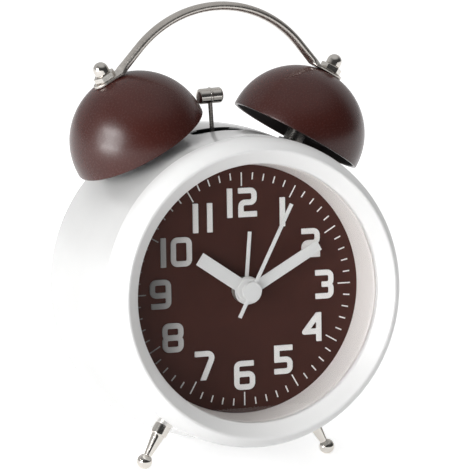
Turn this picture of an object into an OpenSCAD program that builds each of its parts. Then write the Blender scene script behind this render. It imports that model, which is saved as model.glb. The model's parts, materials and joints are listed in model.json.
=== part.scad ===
// Twin bell alarm clock on two ball feet, built as an assembly of its separate pieces.
// The pieces are drawn in the dial's own frame: x to the right, y up the dial and z out of the
// dial towards the reader, with the origin at the middle of the dial's front face.
// stand() then leans the clock back until both feet and the case's rear rim touch the table,
// and puts the middle of its footprint at the origin.

/* [Case] */
// Outer radius of the case at its rear rim
case_rear_r = 57.3; // [56:0.1:59.8]
// How much wider the case is at its rear rim than at the bezel
case_flare = 2.4; // [1:0.1:4]
// Wall thickness of the case
case_wall = 2; // [1.6:0.1:2.2]
// Distance of the rear rim behind the dial's front face
case_depth = 43; // [42:0.5:50]
// Rounding of the rear rim
rim_round = 1.5; // [0.5:0.1:1.9]
// Depth behind the dial where the case starts to flare
flare_start = -4; // [-8:1:6]
// Depth behind the dial where the flare ends
flare_end = 36; // [26:1:38]
// Height of the seam between bezel and case above the dial
seam_height = 9; // [7:0.5:10]

/* [Bezel and lens] */
// Width of the bezel's sloping front face, from the lip to its foremost edge
bezel_width = 5.4; // [4:0.1:6.5]
// Width of the bezel's rounded shoulder, from its foremost edge to the case
bezel_shoulder = 4; // [3:0.1:5]
// Height of the bezel's foremost edge above the dial
bezel_height = 20.4; // [19:0.1:23]
// Thickness of the lip
lip_thickness = 2; // [1.2:0.1:2.6]
// Thickness of the lens
lens_thickness = 1.8; // [1.2:0.1:2.2]
// Height of the pale ring between dial and lens
rehaut_height = 12.4; // [11:0.1:13]
// How much narrower the pale ring is at the dial than at the lip
rehaut_slope = 1.3; // [0.9:0.1:2]

/* [Dial] */
// Thickness of the dial plate
dial_thickness = 0.8; // [0.6:0.1:1.2]
// Gap between the marks and the pale ring
tick_margin = 2.7; // [1:0.1:3.5]
// Length of the hour marks
hour_tick = 4.8; // [3:0.1:5]
// Length of the minute marks
minute_tick = 2.5; // [1.5:0.1:3]
// Width of the marks
tick_width = 0.45; // [0.3:0.05:0.8]
// Height of the numerals
numeral_height = 10.4; // [9:0.1:10.6]
// Stroke width of the numerals
numeral_stroke = 2; // [1.4:0.1:2.2]
// How far the numerals stand proud of the dial
numeral_relief = 0.6; // [0.3:0.1:1]

/* [Hands] */
// Thickness of each hand
hand_thickness = 0.4; // [0.3:0.05:0.5]
// Length of the hour hand from the centre
hour_hand_length = 21.8; // [16:0.1:26]
// Width of the hour hand
hour_hand_width = 4.9; // [3:0.1:6]
// Length of the minute hand from the centre
minute_hand_length = 30.8; // [24:0.1:38]
// Width of the minute hand
minute_hand_width = 4; // [2.5:0.1:5]
// Length of the second hand from the centre
second_hand_length = 34; // [26:0.1:40]
// Width of the second hand
second_hand_width = 1.3; // [0.8:0.1:2]
// Length of the second hand's tail
second_hand_tail = 10.2; // [6:0.1:14]
// Length of the alarm hand from the centre
alarm_hand_length = 20.7; // [14:0.1:26]
// Width of the alarm hand
alarm_hand_width = 1.4; // [0.8:0.1:2]
// Angle of the hour hand, clockwise from twelve
hour_hand_angle = 304; // [0:1:359]
// Angle of the minute hand, clockwise from twelve
minute_hand_angle = 61; // [0:1:359]
// Angle of the second hand, clockwise from twelve
second_hand_angle = 27.5; // [0:0.5:359]
// Angle of the alarm hand, clockwise from twelve
alarm_hand_angle = 5; // [0:1:359]

/* [Bells and handle] */
// Outer radius of each bell
bell_r = 24.8; // [22:0.1:25.2]
// Height of the straight skirt at each bell's rim
bell_skirt = 1; // [0.5:0.1:3]
// Wall thickness of each bell
bell_wall = 1.2; // [0.8:0.1:1.6]
// Lean of each bell away from the middle
bell_angle = 29.8; // [29:0.1:34]
// Lean of the bells and the handle towards the front
bell_tilt = 4; // [0:0.5:5]
// Distance of the middles of the bells' domes behind the dial
bell_depth = 20.1; // [18:0.1:21]
// Distance of the bells' rims from the case
bell_lift = 2.7; // [2:0.1:4]
// Height of the handle's top above its ends
handle_rise = 24; // [20:0.1:27]
// How much wider the handle's arch is than its ends
arch_ease = 2.5; // [0:0.1:4]
// Width of the handle's strip
handle_width = 5; // [4:0.1:7]
// Thickness of the handle's strip
handle_thickness = 3.2; // [2:0.1:3.6]
// Thickness of the handle's flattened ends
tab_thickness = 1.1; // [0.8:0.1:1.5]
// Width of the handle's flattened ends
tab_width = 7.6; // [6.5:0.1:9]

/* [Hammer] */
// Gap between the hammer's head and the left bell at rest
strike_gap = 0.5; // [0.3:0.05:1]
// Radius of the hammer's head
head_r = 2.8; // [2.2:0.05:3]
// Rounding of the head's ends
head_round = 1; // [0.4:0.1:1.4]
// Place of the head left of the middle at rest
head_offset = 4.2; // [3.6:0.1:4.6]
// Height of the head above the middles of the bells' domes
head_rise = 15; // [14.5:0.1:18]
// Distance of the hammer behind the dial
hammer_depth = 17.5; // [16:0.5:19]
// Place of the hammer's pivot left of the middle
pivot_offset = 2; // [1:0.1:3]
// Height of the hammer's pivot above the dial's centre
pivot_height = 26; // [25:0.5:28]
// Radius of the hammer's rod
rod_r = 0.8; // [0.6:0.05:1]
// Length of the slot in the case's top
slot_length = 20; // [18:0.5:26]
// Width of the slot in the case's top
slot_width = 7.4; // [6.4:0.1:10]
// Place of the slot's middle left of the case's middle
slot_offset = 2.7; // [0:0.1:3]

/* [Feet] */
// Splay of each foot from straight down
foot_angle = 30.4; // [26:0.1:36]
// Distance of the feet behind the dial
foot_depth = 7.6; // [7:0.1:10]
// Length of each foot from the case to its ball's centre
foot_length = 15; // [12:0.1:20]
// Radius of the ball
ball_r = 2.8; // [2:0.1:4]
// Radius of the foot's collar
collar_r = 3; // [2.8:0.1:4]
// Length of the foot's collar
collar_length = 4.3; // [3:0.1:6]

/* [Movement] */
// Width of the movement
movement_w = 56; // [55:0.5:60]
// Top edge of the movement above the dial's centre
movement_top = 20; // [18:0.5:20.5]
// Bottom edge of the movement below the dial's centre
movement_bottom = 28; // [27.5:0.5:30]
// Wall thickness of the movement's housing
movement_wall = 1.6; // [1.2:0.1:2]
// Thickness of each wheel
wheel_thickness = 0.8; // [0.6:0.1:0.9]
// Distance between neighbouring layers of wheels
layer_pitch = 1.5; // [1.4:0.1:1.8]
// Distance of the time setting shaft from the centre
motion_distance = 8.75; // [8.6:0.05:9.4]
// Distance of the alarm setting shaft from the centre
alarm_distance = 9; // [8.9:0.1:9.6]
// Distance of the third wheel from the centre
third_distance = 6.8; // [6.6:0.1:7]
// Distance of the intermediate wheel from the centre
intermediate_distance = 7; // [6.9:0.1:7.3]
// Distance of the rotor from the intermediate wheel
rotor_distance = 4.8; // [4.6:0.1:5]
// Radius of the setting shafts
shaft_r = 1.2; // [1:0.05:1.3]

/* [Rear] */
// Thickness of the rear cover
cover_thickness = 2; // [1.8:0.1:2.2]
// How deep the rear cover lies inside the rear rim
cover_recess = 2; // [1.5:0.1:2.5]
// Radius of the setting knobs
knob_r = 5.5; // [4.5:0.1:7]
// Height of the setting knobs
knob_height = 6.4; // [5:0.1:8]
// Length of the battery
battery_length = 50.5; // [49.5:0.1:50.5]
// Radius of the battery
battery_r = 7.25; // [7:0.05:7.25]
// Travel of the alarm switch
switch_travel = 4; // [3:0.1:4]

/* [Hidden] */
$fn = 96;
EPS = 0.01;
fit_gap = 0.05;
run_gap = 0.06;
seat_gap = 0.3;

// Case, bezel and dial levels
case_front_r = case_rear_r - case_flare;
bezel_front_r = case_front_r - bezel_shoulder;
lip_r = bezel_front_r - bezel_width;
rehaut_dial_r = lip_r - rehaut_slope;
function smooth_step(t) = let (u = min(1, max(0, t))) u * u * (3 - 2 * u);
function case_r(depth) = case_front_r
    + case_flare * smooth_step((depth - flare_start) / (flare_end - flare_start));
function inner_r(depth) = case_r(depth) - case_wall;
function arc(cx, cy, r, from, to, steps) =
    [for (i = [0:steps]) let (a = from + (to - from) * i / steps) [cx + r * cos(a), cy + r * sin(a)]];
function bezier(p0, p1, p2, p3, steps) =
    [for (i = [0:steps]) let (t = i / steps, s = 1 - t)
        s * s * s * p0 + 3 * s * s * t * p1 + 3 * s * t * t * p2 + t * t * t * p3];
lens_back = rehaut_height;
lens_front = lens_back + lens_thickness;
lip_front = lens_front + lip_thickness;
lip_overlap = 1.8;
sleeve_r = lip_r + lip_overlap;
sleeve_wall = 1.8;
glass_r = sleeve_r - seat_gap;
dial_back = -dial_thickness;
tick_outer_r = rehaut_dial_r - tick_margin;
ledge_thickness = 2;
ledge_reach = 1.2;
ledge_r = rehaut_dial_r - ledge_reach;
cover_back = -(case_depth - cover_recess);
cover_front = cover_back + cover_thickness;
stop_thickness = 1.5;
stop_width = 1.5;
spigot_length = 4;
spigot_wall = 1.6;
shoulder_start = seam_height + 2;
shoulder = bezier([case_front_r, shoulder_start], [case_front_r, bezel_height - 5],
    [bezel_front_r + 2.1, bezel_height - 1.9], [bezel_front_r, bezel_height], 16);

// Bells and studs, measured outwards in their own plane, and feet, outwards from the case's axis
boss_r = 5;
stud_r = 2;
nut_flats = 7;
nut_height = 3.2;
nut_r = nut_flats / 2 / cos(30);
bell_rim = case_rear_r + bell_lift;
dome = bell_rim + bell_skirt;
dome_x = dome * sin(bell_angle);
dome_y = dome * cos(bell_angle);
bell_plane = bell_depth + dome_y * sin(bell_tilt);
stud_depth = bell_plane - case_rear_r * cos(bell_angle) * sin(bell_tilt);
bell_boss_top = case_r(stud_depth + boss_r) + 0.4;
bell_seat = inner_r(stud_depth - boss_r) - 0.8;
bell_top_cut = 0.3;
bell_top = dome + bell_r - bell_top_cut;
spacer_r = 3.5;
spacer_top = dome + sqrt(pow(bell_r - bell_wall, 2) - pow(spacer_r, 2));
tab_top = bell_top + tab_thickness;
acorn_hex = 2.2;
acorn_neck = 1.7;
acorn_r = 2.75;
acorn_turn = -16;
acorn_bore = 4.5;
stud_top = tab_top + acorn_bore - seat_gap;
foot_seat = inner_r(foot_depth - boss_r) - 0.8;
collar_base = case_r(foot_depth - collar_r) - 0.4;
collar_end = collar_base + collar_length;
foot_reach = collar_base + foot_length;
cone_top_r = collar_r - 0.45;
cone_tip_r = 1.4;
ball_flat = 0.15;

// Lean of the clock: both ball flats and the rear rim touch one level plane
ball_contact = ball_r - ball_flat;
rise = foot_reach * cos(foot_angle) - (case_rear_r - rim_round);
run = case_depth - rim_round - foot_depth;
lean = acos((rim_round - ball_contact) / norm([rise, run])) - atan2(run, rise);
stand_height = foot_reach * cos(foot_angle) * cos(lean) + foot_depth * sin(lean) + ball_contact;
function reach_front(p) = p[0] * sin(lean) + p[1] * cos(lean);
front_reach = max([for (p = shoulder) reach_front(p)]);
rim_reach = (case_rear_r - rim_round) * sin(lean) + (case_depth - rim_round) * cos(lean) + rim_round;
bell_reach = dome_y * cos(bell_tilt) * sin(lean) + bell_depth * cos(lean) + bell_r;
footprint_shift = (front_reach - max(rim_reach, bell_reach)) / 2;

// Handle: the arch runs straight down to each flattened end
tab_inner = 5.7;
tab_outer = 5.1;
tab_level = bell_top + tab_thickness / 2;
root = [tab_level * sin(bell_angle) - tab_inner * cos(bell_angle),
    tab_level * cos(bell_angle) + tab_inner * sin(bell_angle)];
arch_r = root[0] + arch_ease;
arch_centre = root[1] + handle_rise - handle_thickness / 2 - arch_r;
root_distance = norm([root[0], root[1] - arch_centre]);
arch_half = atan2(root[0], root[1] - arch_centre) - acos(arch_r / root_distance);
leg_length = sqrt(root_distance * root_distance - arch_r * arch_r);
bend_length = 2.5;
strip_steps = 20;
function strip(inset) = [for (i = [0:strip_steps - 1]) let (a = 360 * i / strip_steps)
    [(handle_thickness / 2 - inset) * cos(a), (handle_width / 2 - inset) * sin(a)]];

// Hammer and electromagnet
slot_gap = 0.4;
slot_depth = hammer_depth + rod_r + slot_gap - slot_width / 2;
head_height = dome_y * cos(bell_tilt) + head_rise;
swing = atan2(head_offset - pivot_offset, head_height - pivot_height);
rod_length = norm([head_offset - pivot_offset, head_height - pivot_height]);
strike_run = (dome_x - head_offset) * cos(swing) + head_rise * sin(swing);
strike_off = norm([head_rise * cos(swing) - (dome_x - head_offset) * sin(swing), bell_depth - hammer_depth])
    - head_r + head_round;
head_length = 2 * (strike_run + head_round
    - sqrt(pow(bell_r + strike_gap + head_round, 2) - pow(strike_off, 2)));
lever_post = 15;
lever_post_start = 2.3;
lever_post_r = 2;
rod_start = 6;
hub_r = 3;
pivot_r = 1;
lever_thickness = 2;
bracket_front = -(hammer_depth + 2.5);
bracket_thickness = 1.2;
bracket_back = bracket_front - bracket_thickness;
arm_low = pivot_height - 1.5;
arm_top = pivot_height + 2;
arm_reach = 16;
armature_thickness = 1.8;
armature_length = 8;
pole_gap = 0.4;
magnet_x = 12;
magnet_z = -(hammer_depth - 3.3);
core_r = 2;
core_low = arm_top + armature_thickness + pole_gap;
core_length = 13.8;
core_top = core_low + core_length;
coil_r = 5.3;
coil_low = core_low + 1.4;
flange_half = 6;
flange_front = magnet_z + core_r + 0.8;
post_x = 12;
post_y = core_top - 4;
post_r = 3;
screw_r = 1.2;
screw_head_r = 2.2;
screw_head = 1.2;
lead_r = 0.5;
lead_bend = 1.2;
lead_spread = 1.6;

// Movement: layers of wheels from the front to the back
front_inner = dial_back - movement_wall;
layer_gap = 0.4;
function layer(i) = front_inner - layer_gap - i * layer_pitch;
plate_thickness = 1;
plate_front = layer(2) - wheel_thickness - 0.6;
plate_back = plate_front - plate_thickness;
function rear_layer(i) = plate_back - 0.6 - i * layer_pitch;
back_inner = rear_layer(3) - wheel_thickness - 0.7;
movement_back_z = back_inner - movement_wall;
alarm_layer = layer(0);
hour_layer = layer(1);
minute_layer = layer(2);
centre_layer = rear_layer(0);
third_layer = rear_layer(1);
second_layer = rear_layer(2);
rotor_layer = rear_layer(3);
pinion_extra = 0.2;
second_arbor_r = 0.5;
cannon_r = 1.2;
hour_tube_r = 1.9;
alarm_tube_r = 2.6;
bush_r = 3.6;
pivot_pin_r = 0.8;
arbor_r = 0.4;
pivot_depth = 1;
cannon_teeth = 12;
motion_teeth = 36;
motion_pinion_teeth = 10;
hour_teeth = 40;
alarm_pinion_teeth = 20;
alarm_teeth = 40;
second_pinion_teeth = 8;
third_teeth = 60;
third_pinion_teeth = 8;
centre_teeth = 64;
second_teeth = 60;
intermediate_pinion_teeth = 10;
intermediate_teeth = 40;
rotor_pinion_teeth = 8;
intermediate_angle = -60;
motion_at = [-motion_distance, 0];
alarm_at = [alarm_distance, 0];
third_at = [0, third_distance];
intermediate_at = intermediate_distance * [cos(intermediate_angle), sin(intermediate_angle)];
rotor_at = intermediate_at - [0, rotor_distance];
pillar_x = movement_w / 2 - 3;
pillar_y = [movement_top - 3, 3 - movement_bottom];
pillar_r = 2.2;
movement_screw_r = 0.85;
magnet_r = 2.2;
magnet_height = 2.2;
stator_thickness = 1;
stator_front = centre_layer - wheel_thickness - 0.4;
stator_back = stator_front - stator_thickness;
stator_hole_r = 2.8;
stator_left = rotor_at[0] - 12.5;
stator_right = rotor_at[0] + 12.5;
stator_top = rotor_at[1] + 3.66;
stator_mid = rotor_at[1] - 3.74;
stator_leg = 4;
limb_top = rotor_at[1] - 9.1;
limb_height = 3;
coil_margin = 1.5;

// Hands: the height of each above the dial
hand_step = 1.8;
alarm_hand_z = 2.5;
hour_hand_z = alarm_hand_z + hand_step;
minute_hand_z = hour_hand_z + hand_step;
second_hand_z = minute_hand_z + hand_step;
alarm_hub_r = 4;
hour_hub_r = 5;
minute_hub_r = 4.6;
cap_r = 3.6;
cap_height = 1.1;
cap_step = 0.2;
dial_nut_r = 4.8;
dial_nut_height = 1.2;

// Rear cover: battery bay, switch and screws
bay_wall = 1.5;
bay_half = battery_length / 2 + 1.75;
bay_top = -23.6;
bay_low = -40.4;
bay_floor = cover_front + 2 * battery_r + 1;
battery_y = (bay_top + bay_low) / 2;
battery_z = bay_floor - battery_r - 0.5;
contact_thickness = 0.5;
contact_half = 5;
contact_tab = 4;
tab_reach = 3;
door_gap = 0.3;
door_round = cover_thickness / 2;
door_pin_r = 0.7;
door_pin_length = 1;
hinge_y = bay_low + door_gap + door_round;
hinge_z = (cover_front + cover_back) / 2;
switch_y = -13;
stem_w = 3;
stem_h = 2.4;
slider_w = 7;
slider_h = 4.4;
slider_t = 1.2;
switch_wall = 1.5;
channel_w = slider_w + switch_travel + 1;
channel_h = slider_h + 0.6;
channel_depth = 2.8;
cover_screw_at = case_rear_r - case_wall - 3.7;
cover_screw_angles = [60, 180, 300];
cover_boss_r = 3.2;
cover_boss_length = 12;
knob_front = cover_back - 0.6;
knob_back = knob_front - knob_height;
knob_skin = 1.5;
knob_flutes = 24;
flute_depth = 0.35;

// Placing
module stand() {
    translate([0, footprint_shift, stand_height]) rotate([90 - lean, 0, 0]) children();
}

module table_cut() {
    half = 2 * foot_reach;
    rotate([lean - 90, 0, 0]) translate([-half, -half - footprint_shift, -half - stand_height])
        cube([2 * half, 2 * half, half]);
}

module radial(angle, depth) {
    rotate([0, 0, -angle]) translate([0, 0, -depth]) rotate([-90, 0, 0]) children();
}

module bell_frame() {
    translate([0, 0, -bell_plane]) rotate([bell_tilt, 0, 0]) children();
}

module on_bell(side) {
    bell_frame() radial(side * bell_angle, 0) children();
}

module slab(low, high) {
    translate([low[0], low[1], low[2]]) cube([high[0] - low[0], high[1] - low[1], high[2] - low[2]]);
}

module rod_z(r, low, high) {
    translate([0, 0, low]) cylinder(r = r, h = high - low);
}

module tube_z(bore, r, low, high) {
    difference() {
        rod_z(r, low, high);
        rod_z(bore, low - 1, high + 1);
    }
}

module rod_y(r, x, z, low, high) {
    translate([x, low, z]) rotate([-90, 0, 0]) cylinder(r = r, h = high - low);
}

module rod_x(r, y, z, low, high) {
    translate([low, y, z]) rotate([0, 90, 0]) cylinder(r = r, h = high - low);
}

module hex_nut(low, high, bore) {
    difference() {
        translate([0, 0, low]) cylinder(r = nut_r, h = high - low, $fn = 6);
        rod_z(bore, low - 1, high + 1);
    }
}

// Case, bezel and dial
module drum_case() {
    flare_steps = 14;
    outer = [for (i = [0:flare_steps]) let (d = -seam_height + (flare_end + seam_height) * i / flare_steps)
        [case_r(d), -d]];
    rim = arc(case_rear_r - rim_round, -(case_depth - rim_round), rim_round, 0, -90, 8);
    rear_inner = inner_r(case_depth);
    inner = [for (i = [0:flare_steps])
        let (d = flare_end + (dial_thickness + ledge_thickness - flare_end) * i / flare_steps)
        [inner_r(d), -d]];
    color("white") difference() {
        union() {
            rotate_extrude() polygon(concat(outer, rim,
                [[rear_inner, -case_depth], [rear_inner, cover_front],
                 [rear_inner - stop_width, cover_front],
                 [rear_inner - stop_width, cover_front + stop_thickness],
                 [rear_inner, cover_front + stop_thickness]],
                inner,
                [[ledge_r, dial_back - ledge_thickness], [ledge_r, dial_back],
                 [inner_r(dial_thickness), dial_back], [inner_r(-seam_height), seam_height]]));
            for (side = [-1, 1]) {
                on_bell(side) rod_z(boss_r, bell_seat, bell_boss_top);
                radial(180 + side * foot_angle, foot_depth) rod_z(boss_r, foot_seat, inner_r(foot_depth) + 1);
            }
            for (a = cover_screw_angles) rotate([0, 0, -a]) translate([0, cover_screw_at, 0])
                rod_z(cover_boss_r, cover_front, cover_front + cover_boss_length);
        }
        for (side = [-1, 1]) {
            on_bell(side) rod_z(stud_r + fit_gap, 0, bell_boss_top + 1);
            radial(180 + side * foot_angle, foot_depth) {
                rod_z(stud_r + fit_gap, 0, collar_end);
                rod_z(collar_r + fit_gap, collar_base, collar_end + 2);
            }
        }
        for (a = cover_screw_angles) rotate([0, 0, -a]) translate([0, cover_screw_at, 0])
            rod_z(screw_r + fit_gap, cover_front - 1, cover_front + cover_boss_length - 2);
        slot_half = slot_length / 2 - slot_width / 2;
        translate([-slot_offset, case_front_r - 12, -slot_depth]) rotate([-90, 0, 0]) {
            slab([-slot_half, -slot_width / 2, 0], [slot_half, slot_width / 2, 20]);
            for (x = [-slot_half, slot_half]) translate([x, 0, 0]) cylinder(d = slot_width, h = 20);
        }
    }
}

module front_bezel() {
    spigot_r = inner_r(-seam_height) - seat_gap;
    hollow_r = sleeve_r + sleeve_wall;
    hollow_top = shoulder_start + 1;
    edge = 0.7;
    color("white") rotate_extrude() polygon(concat([[case_front_r, seam_height]], shoulder,
        [[bezel_front_r - edge, bezel_height], [lip_r, lip_front], [lip_r, lens_front],
         [sleeve_r, lens_front], [sleeve_r, dial_back + seat_gap], [hollow_r, dial_back + seat_gap],
         [hollow_r, hollow_top], [spigot_r - spigot_wall, hollow_top],
         [spigot_r - spigot_wall, seam_height - spigot_length],
         [spigot_r, seam_height - spigot_length], [spigot_r, seam_height]]));
}

module rehaut_ring() {
    color("gainsboro") rotate_extrude() polygon([[rehaut_dial_r, 0], [glass_r, 0],
        [glass_r, lens_back], [lip_r - 0.2, lens_back]]);
}

module lens() {
    color("azure", 0.3) rod_z(glass_r, lens_back, lens_front);
}

module dial_plate() {
    color([0.22, 0.13, 0.11]) tube_z(bush_r + fit_gap, glass_r, dial_back, 0);
}

module dial_ticks() {
    tick_relief = 0.12;
    color("silver") for (i = [0:59]) rotate([0, 0, 6 * i]) {
        length = i % 5 == 0 ? hour_tick : minute_tick;
        slab([-tick_width / 2, tick_outer_r - length, 0], [tick_width / 2, tick_outer_r, tick_relief]);
    }
}

// Numerals: strokes of even width with round outer corners
digit_h = numeral_height;
digit_c = 1.5;
half_s = numeral_stroke / 2;
bend_out = digit_c + half_s;
bend_in = digit_c - half_s;
narrow_w = 0.68 * digit_h;
seven_w = 0.71 * digit_h;
four_w = 0.72 * digit_h;
wide_w = 0.77 * digit_h;
digit_b = digit_h / 2 - half_s;
waist = asin(digit_c / bend_out);
six_bar = 0.4;
four_bar = -0.15 * digit_h;
function half_w(w) = w / 2 - half_s;
function bend(x, y, r, from, to) = arc(x, y, r, from, to, 6);
function corner(x, y, from, to) = bend(x, y, digit_c, from, to);
function unit(v) = v / norm(v);
function left_of(v) = [-v[1], v[0]];
function rest(list) = [for (i = [1:len(list) - 1]) list[i]];
function backwards(list) = [for (i = [len(list) - 1:-1:0]) list[i]];
function half_turn(path) = [for (p = path) -p];
function side_point(before, here, after, d) =
    let (n0 = left_of(unit(here - before)), n1 = left_of(unit(after - here)), m = unit(n0 + n1))
    here + m * d / (m * n0);
function open_side(path, d) = let (n = len(path)) [for (i = [0:n - 1])
    i == 0 ? path[0] + left_of(unit(path[1] - path[0])) * d :
    i == n - 1 ? path[i] + left_of(unit(path[i] - path[i - 1])) * d :
    side_point(path[i - 1], path[i], path[i + 1], d)];
function ring(a, low, high, r) = concat(bend(a - digit_c, high - digit_c, r, 90, 0),
    bend(a - digit_c, low + digit_c, r, 0, -90), bend(digit_c - a, low + digit_c, r, -90, -180),
    bend(digit_c - a, high - digit_c, r, 180, 90));
function right_lobes(a) = concat(bend(a - digit_c, digit_b - digit_c, bend_out, 90, 0),
    bend(a - digit_c, digit_c, bend_out, 0, -waist), rest(bend(a - digit_c, -digit_c, bend_out, waist, 0)),
    bend(a - digit_c, digit_c - digit_b, bend_out, 0, -90));
function two_path(w) = let (a = half_w(w)) concat([[-w / 2, digit_b]],
    corner(a - digit_c, digit_b - digit_c, 90, 0), corner(a - digit_c, digit_c, 0, -90),
    corner(digit_c - a, -digit_c, 90, 180), [[-a, -digit_b], [w / 2, -digit_b]]);
function three_outline(w) = let (a = half_w(w), x = a - digit_c) concat(
    [[-w / 2, digit_h / 2]], right_lobes(a),
    [[-w / 2, -digit_h / 2], [-w / 2, half_s - digit_b]], bend(x, digit_c - digit_b, bend_in, -90, 0),
    bend(x, -digit_c, bend_in, 0, 90), [[-0.15 * w, -half_s], [-0.15 * w, half_s]],
    bend(x, digit_c, bend_in, -90, 0), bend(x, digit_b - digit_c, bend_in, 0, 90),
    [[-w / 2, digit_b - half_s]]);
function four_top(w) = [half_w(w) - half_s, digit_h / 2];
function four_foot(w) = [0.25 - w / 2, four_bar + 0.55];
function four_outline(w) = let (a = half_w(w)) [four_top(w), four_foot(w), [-w / 2, four_bar],
    [0.1 - w / 2, four_bar - 0.6], [0.6 - w / 2, four_bar - half_s], [a - half_s, four_bar - half_s],
    [a - half_s, -digit_h / 2], [a + half_s, -digit_h / 2], [a + half_s, digit_h / 2]];
function four_hole(w) = let (p = four_top(w), d = unit(four_foot(w) - p), n = left_of(d),
    q = p + numeral_stroke * n, upper = (p[0] - q[0]) / d[0], lower = (four_bar + half_s - q[1]) / d[1])
    [q + d * upper, q + d * lower, [p[0], four_bar + half_s]];
function five_path(w) = let (a = half_w(w)) concat([[w / 2, digit_b], [-a, digit_b], [-a, 0]],
    corner(a - digit_c, -digit_c, 90, 0), corner(a - digit_c, digit_c - digit_b, 0, -90),
    [[-w / 2, -digit_b]]);
function six_outline(w) = let (a = half_w(w)) concat([[0.44 * w, digit_h / 2]],
    bend(digit_c - a, digit_b - digit_c, bend_out, 90, 180),
    bend(digit_c - a, digit_c - digit_b, bend_out, 180, 270),
    bend(a - digit_c, digit_c - digit_b, bend_out, -90, 0),
    bend(a - digit_c, six_bar - digit_c, bend_out, 0, 90),
    [[half_s - a, six_bar + half_s]], bend(digit_c - a, digit_b - digit_c, bend_in, 180, 90),
    [[0.44 * w, digit_b - half_s]]);
function seven_path(w) = let (a = half_w(w)) concat([[-w / 2, digit_b]],
    corner(a - digit_c, digit_b - digit_c, 90, -24), [[-0.1 * w - 0.43, -digit_h / 2 - 1]]);

module stroke(path) {
    polygon(concat(open_side(path, half_s), backwards(open_side(path, -half_s))));
}

module cut_out(outside, inside) {
    difference() {
        polygon(outside);
        for (hole = inside) polygon(hole);
    }
}

module digit(value) {
    a = half_w(wide_w);
    six_hole = ring(a, -digit_b, six_bar, bend_in);
    if (value == 0) cut_out(ring(a, -digit_b, digit_b, bend_out), [ring(a, -digit_b, digit_b, bend_in)]);
    if (value == 1) square([numeral_stroke, digit_h], center = true);
    if (value == 2) stroke(two_path(narrow_w));
    if (value == 3) polygon(three_outline(narrow_w));
    if (value == 4) cut_out(four_outline(four_w), [four_hole(four_w)]);
    if (value == 5) stroke(five_path(narrow_w));
    if (value == 6) cut_out(six_outline(wide_w), [six_hole]);
    if (value == 7) intersection() {
        stroke(seven_path(seven_w));
        square([2 * digit_h, digit_h], center = true);
    }
    if (value == 8) cut_out(concat(right_lobes(a), half_turn(right_lobes(a))),
        [ring(a, 0, digit_b, bend_in), ring(a, -digit_b, 0, bend_in)]);
    if (value == 9) cut_out(half_turn(six_outline(wide_w)), [half_turn(six_hole)]);
}

// Each hour: how far its numeral's middle lies inside the marks' outer ends, its digits, and where they
// stand across it
hours = [[10.6, [1], [0]], [11.2, [2], [0]], [10.1, [3], [0]], [11.2, [4], [0]], [11.4, [5], [0]],
    [10.8, [6], [0]], [11.2, [7], [0]], [10.3, [8], [0]], [10.1, [9], [0]], [12.4, [1, 0], [-4.9, 1.9]],
    [11.4, [1, 1], [-2.7, 2.7]], [10.7, [1, 2], [-4.7, 2.1]]];

module dial_numerals() {
    color("white") for (i = [0:11]) {
        angle = 30 * (i + 1);
        middle = tick_outer_r - hours[i][0];
        translate([middle * sin(angle), middle * cos(angle), 0])
            for (k = [0:len(hours[i][1]) - 1]) translate([hours[i][2][k], 0, 0])
                linear_extrude(numeral_relief) digit(hours[i][1][k]);
    }
}

module dial_nut() {
    color("silver") tube_z(bush_r + fit_gap, dial_nut_r, 0, dial_nut_height);
}

// Hands
module hand(angle, width, length, tail, hub, bore, z) {
    rotate([0, 0, -angle]) difference() {
        union() {
            slab([-width / 2, -tail, z], [width / 2, length, z + hand_thickness]);
            rod_z(hub, z, z + hand_thickness);
        }
        rod_z(bore, z - 1, z + hand_thickness + 1);
    }
}

module alarm_hand() {
    color("white") hand(alarm_hand_angle, alarm_hand_width, alarm_hand_length, 0, alarm_hub_r,
        alarm_tube_r + fit_gap, alarm_hand_z);
}

module hour_hand() {
    color("white") hand(hour_hand_angle, hour_hand_width, hour_hand_length, 0, hour_hub_r,
        hour_tube_r + fit_gap, hour_hand_z);
}

module minute_hand() {
    color("white") hand(minute_hand_angle, minute_hand_width, minute_hand_length, 0, minute_hub_r,
        cannon_r + fit_gap, minute_hand_z);
}

module second_hand() {
    color("white") {
        hand(second_hand_angle, second_hand_width, second_hand_length, second_hand_tail, cap_r,
            second_arbor_r + fit_gap, second_hand_z);
        rod_z(cap_r - cap_step, second_hand_z + hand_thickness - EPS, second_hand_z + cap_height);
    }
}

// Bells, studs and handle
module bell(side) {
    inner_dome = bell_r - bell_wall;
    color([0.24, 0.13, 0.11]) on_bell(side) difference() {
        union() {
            rod_z(bell_r, bell_rim, dome);
            intersection() {
                translate([0, 0, dome]) sphere(r = bell_r);
                rod_z(bell_r + 1, dome, bell_top);
            }
        }
        rod_z(inner_dome, bell_rim - 1, dome);
        translate([0, 0, dome]) sphere(r = inner_dome);
        rod_z(stud_r + fit_gap, bell_rim, bell_top + 1);
    }
}

module left_bell() {
    bell(-1);
}

module right_bell() {
    bell(1);
}

module on_both_bells() {
    for (side = [-1, 1]) on_bell(side) children();
}

module bell_spacers() {
    color("dimgray") on_both_bells() tube_z(stud_r + fit_gap, spacer_r, bell_boss_top, spacer_top);
}

module bell_studs() {
    color("silver") on_both_bells() rod_z(stud_r, bell_seat - nut_height - 1, stud_top);
}

module stud_nuts() {
    color("silver") on_both_bells() hex_nut(bell_seat - nut_height, bell_seat, stud_r + fit_gap);
}

module acorn_nut() {
    neck = tab_top + acorn_hex + acorn_neck;
    difference() {
        union() {
            translate([0, 0, tab_top]) cylinder(r = nut_r, h = acorn_hex, $fn = 6);
            rod_z(acorn_r, tab_top, neck);
            intersection() {
                translate([0, 0, neck]) sphere(r = acorn_r);
                rod_z(acorn_r + 1, neck, neck + acorn_r + 1);
            }
        }
        rod_z(stud_r + fit_gap, tab_top - 1, tab_top + acorn_bore);
    }
}

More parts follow.
